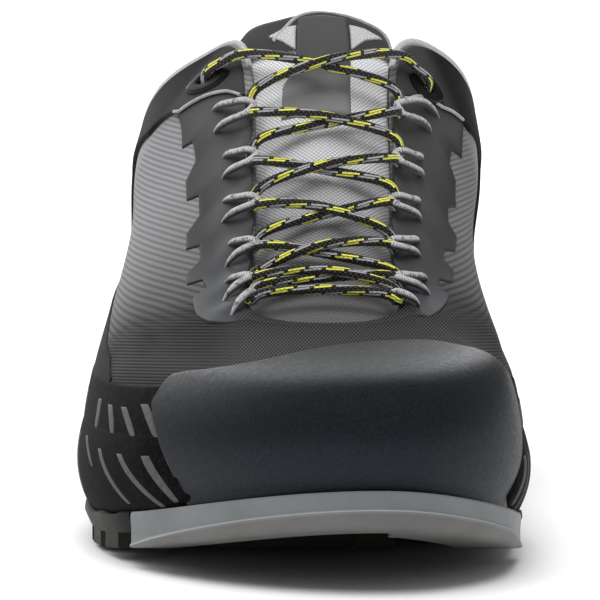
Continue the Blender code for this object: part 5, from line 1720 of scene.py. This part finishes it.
def eyelet_grid(place, steps, scale_steps):
    """Points and normals of an almond ring on the collar, from its slot to its rim."""
    side = 1 if place < COUNT / 2 else -1
    places = np.array([float(place)])
    length = wall_length(places)[0]
    sides = [spot(place + step, EYELET_DEPTH, 0) for step in (-PLACE_NEAR, PLACE_NEAR)]
    span = np.linalg.norm(sides[1] - sides[0]) / (2 * PLACE_NEAR)
    points, normals = [], []
    for angle in np.linspace(0, 2 * np.pi, steps, endpoint=False):
        row = []
        for size in scale_steps:
            reach = EYELET_HALF_LENGTH * size * math.cos(angle)
            almond = 1 - EYELET_ALMOND * (1 - abs(math.sin(angle)))
            width = EYELET_HALF_WIDTH * size * math.sin(angle) * almond
            up = reach * math.cos(EYELET_TILT) - width * math.sin(EYELET_TILT)
            turn = (reach * math.sin(EYELET_TILT) + width * math.cos(EYELET_TILT)) * side
            row.append((place + turn / span, length - EYELET_DEPTH + up))
        row = np.array(row)
        spots, directions = wall_at(row[:, 0], row[:, 1:])
        points.append(spots[:, 0])
        normals.append(directions[:, 0])
    points, normals = np.array(points), np.array(normals)
    return (points, normals) if side > 0 else (points[::-1], normals[::-1])


def add_eyelets():
    look = eyelet_look()
    for side, place in (("lateral", EYELET_PLACE), ("medial", mirrored(EYELET_PLACE))):
        points, normals = eyelet_grid(place, 48, np.linspace(EYELET_HOLE, 1.0, 9))
        height = edge_round(edge_distance(points, 1), EYELET_EDGE)
        outer = points + (FILM - EYELET_SINK + EYELET_RISE * height)[..., None] * normals
        item = slab(f"eyelet_{side}", outer, points + EYELET_BACK * normals, wrap=True)
        dress(item, look, "eyelet_plastic", f"top_eyelet_{side}")


# Stage


FLOOR_HALF = 15.0


def add_floor():
    corners = [(x * FLOOR_HALF, y * FLOOR_HALF, 0.0) for x, y in ((-1, -1), (1, -1), (1, 1), (-1, 1))]
    floor = make("floor", corners, [(0, 1, 2, 3)])
    look = Look("pale_floor", 0.9)
    floor.data.materials.append(look.finish((0.95, 0.95, 0.95)))


SUN_STRENGTH = 3.0
SUN_ANGLE = math.radians(50)
SUN_DIRECTION = Vector((0.05, 0.25, -1.0))
WORLD_STRENGTH = 0.29
# Lit panels: place in metres, width and height, and power in watts
Panel = namedtuple("Panel", "name place size power")
PANELS = [Panel("screen", (-0.5, 1.9, 0.8), (2.2, 1.2), 30), Panel("side", (-1.9, 0.9, 1.2), (1.4, 1.4), 8)]


def add_sun():
    """Large soft light from above and a little in front of the shoe."""
    data = bpy.data.lights.new("overhead", "SUN")
    data.energy = SUN_STRENGTH
    data.angle = SUN_ANGLE
    item = placed("overhead", data)
    item.rotation_euler = SUN_DIRECTION.to_track_quat("-Z", "Y").to_euler()
    item.visible_glossy = False


def add_panel(panel):
    """Lit panel turned to the shoe, which shows as a sheen on surfaces seen at a low angle."""
    data = bpy.data.lights.new(panel.name, "AREA")
    data.shape = "RECTANGLE"
    data.size, data.size_y = panel.size
    data.energy = panel.power
    item = placed(panel.name, data)
    item.location = panel.place
    item.rotation_euler = (-Vector(panel.place)).to_track_quat("-Z", "Y").to_euler()


CAMERA_TARGET = Vector((-0.0007, -0.150, 0.0732))
CAMERA_ELEVATION = math.radians(7)
CAMERA_DISTANCE = 2.5
PIXELS_PER_METRE = 4140
PICTURE_PIXELS = 600
SENSOR = 36


def add_camera():
    data = bpy.data.cameras.new("camera")
    data.sensor_width = SENSOR
    data.lens = SENSOR * CAMERA_DISTANCE * PIXELS_PER_METRE / PICTURE_PIXELS
    camera = placed("camera", data)
    away = Vector((0, -math.cos(CAMERA_ELEVATION), math.sin(CAMERA_ELEVATION)))
    camera.location = CAMERA_TARGET + away * CAMERA_DISTANCE
    camera.rotation_euler = (-away).to_track_quat("-Z", "Y").to_euler()
    bpy.context.scene.camera = camera


def add_world():
    world = bpy.data.worlds.new("studio")
    world.use_nodes = True
    background = world.node_tree.nodes["Background"]
    background.inputs["Color"].default_value = (1, 1, 1, 1)
    background.inputs["Strength"].default_value = WORLD_STRENGTH
    bpy.context.scene.world = world


def add_studio():
    add_floor()
    add_world()
    add_sun()
    for panel in PANELS:
        add_panel(panel)
    add_camera()
    bpy.context.scene.view_settings.view_transform = "Standard"


def main():
    film = film_look()
    cloth = panel_look()
    cord = cord_look("loop_cord", grey(62), grey(204))
    pale = cord_look("pale_cord", grey(170), grey(216))
    add_outsole()
    add_toe_zone()
    add_midsole()
    add_bars()
    add_insole()
    add_upper()
    add_rand(black_look())
    add_counter(cloth)
    add_collar_panel(cloth)
    add_eyestay(facing_look())
    add_piping(pale)
    add_toe_cap()
    add_lining()
    add_tongue(film, pale)
    add_lace()
    add_loops(cord)
    add_eyelets()
    add_studio()


main()
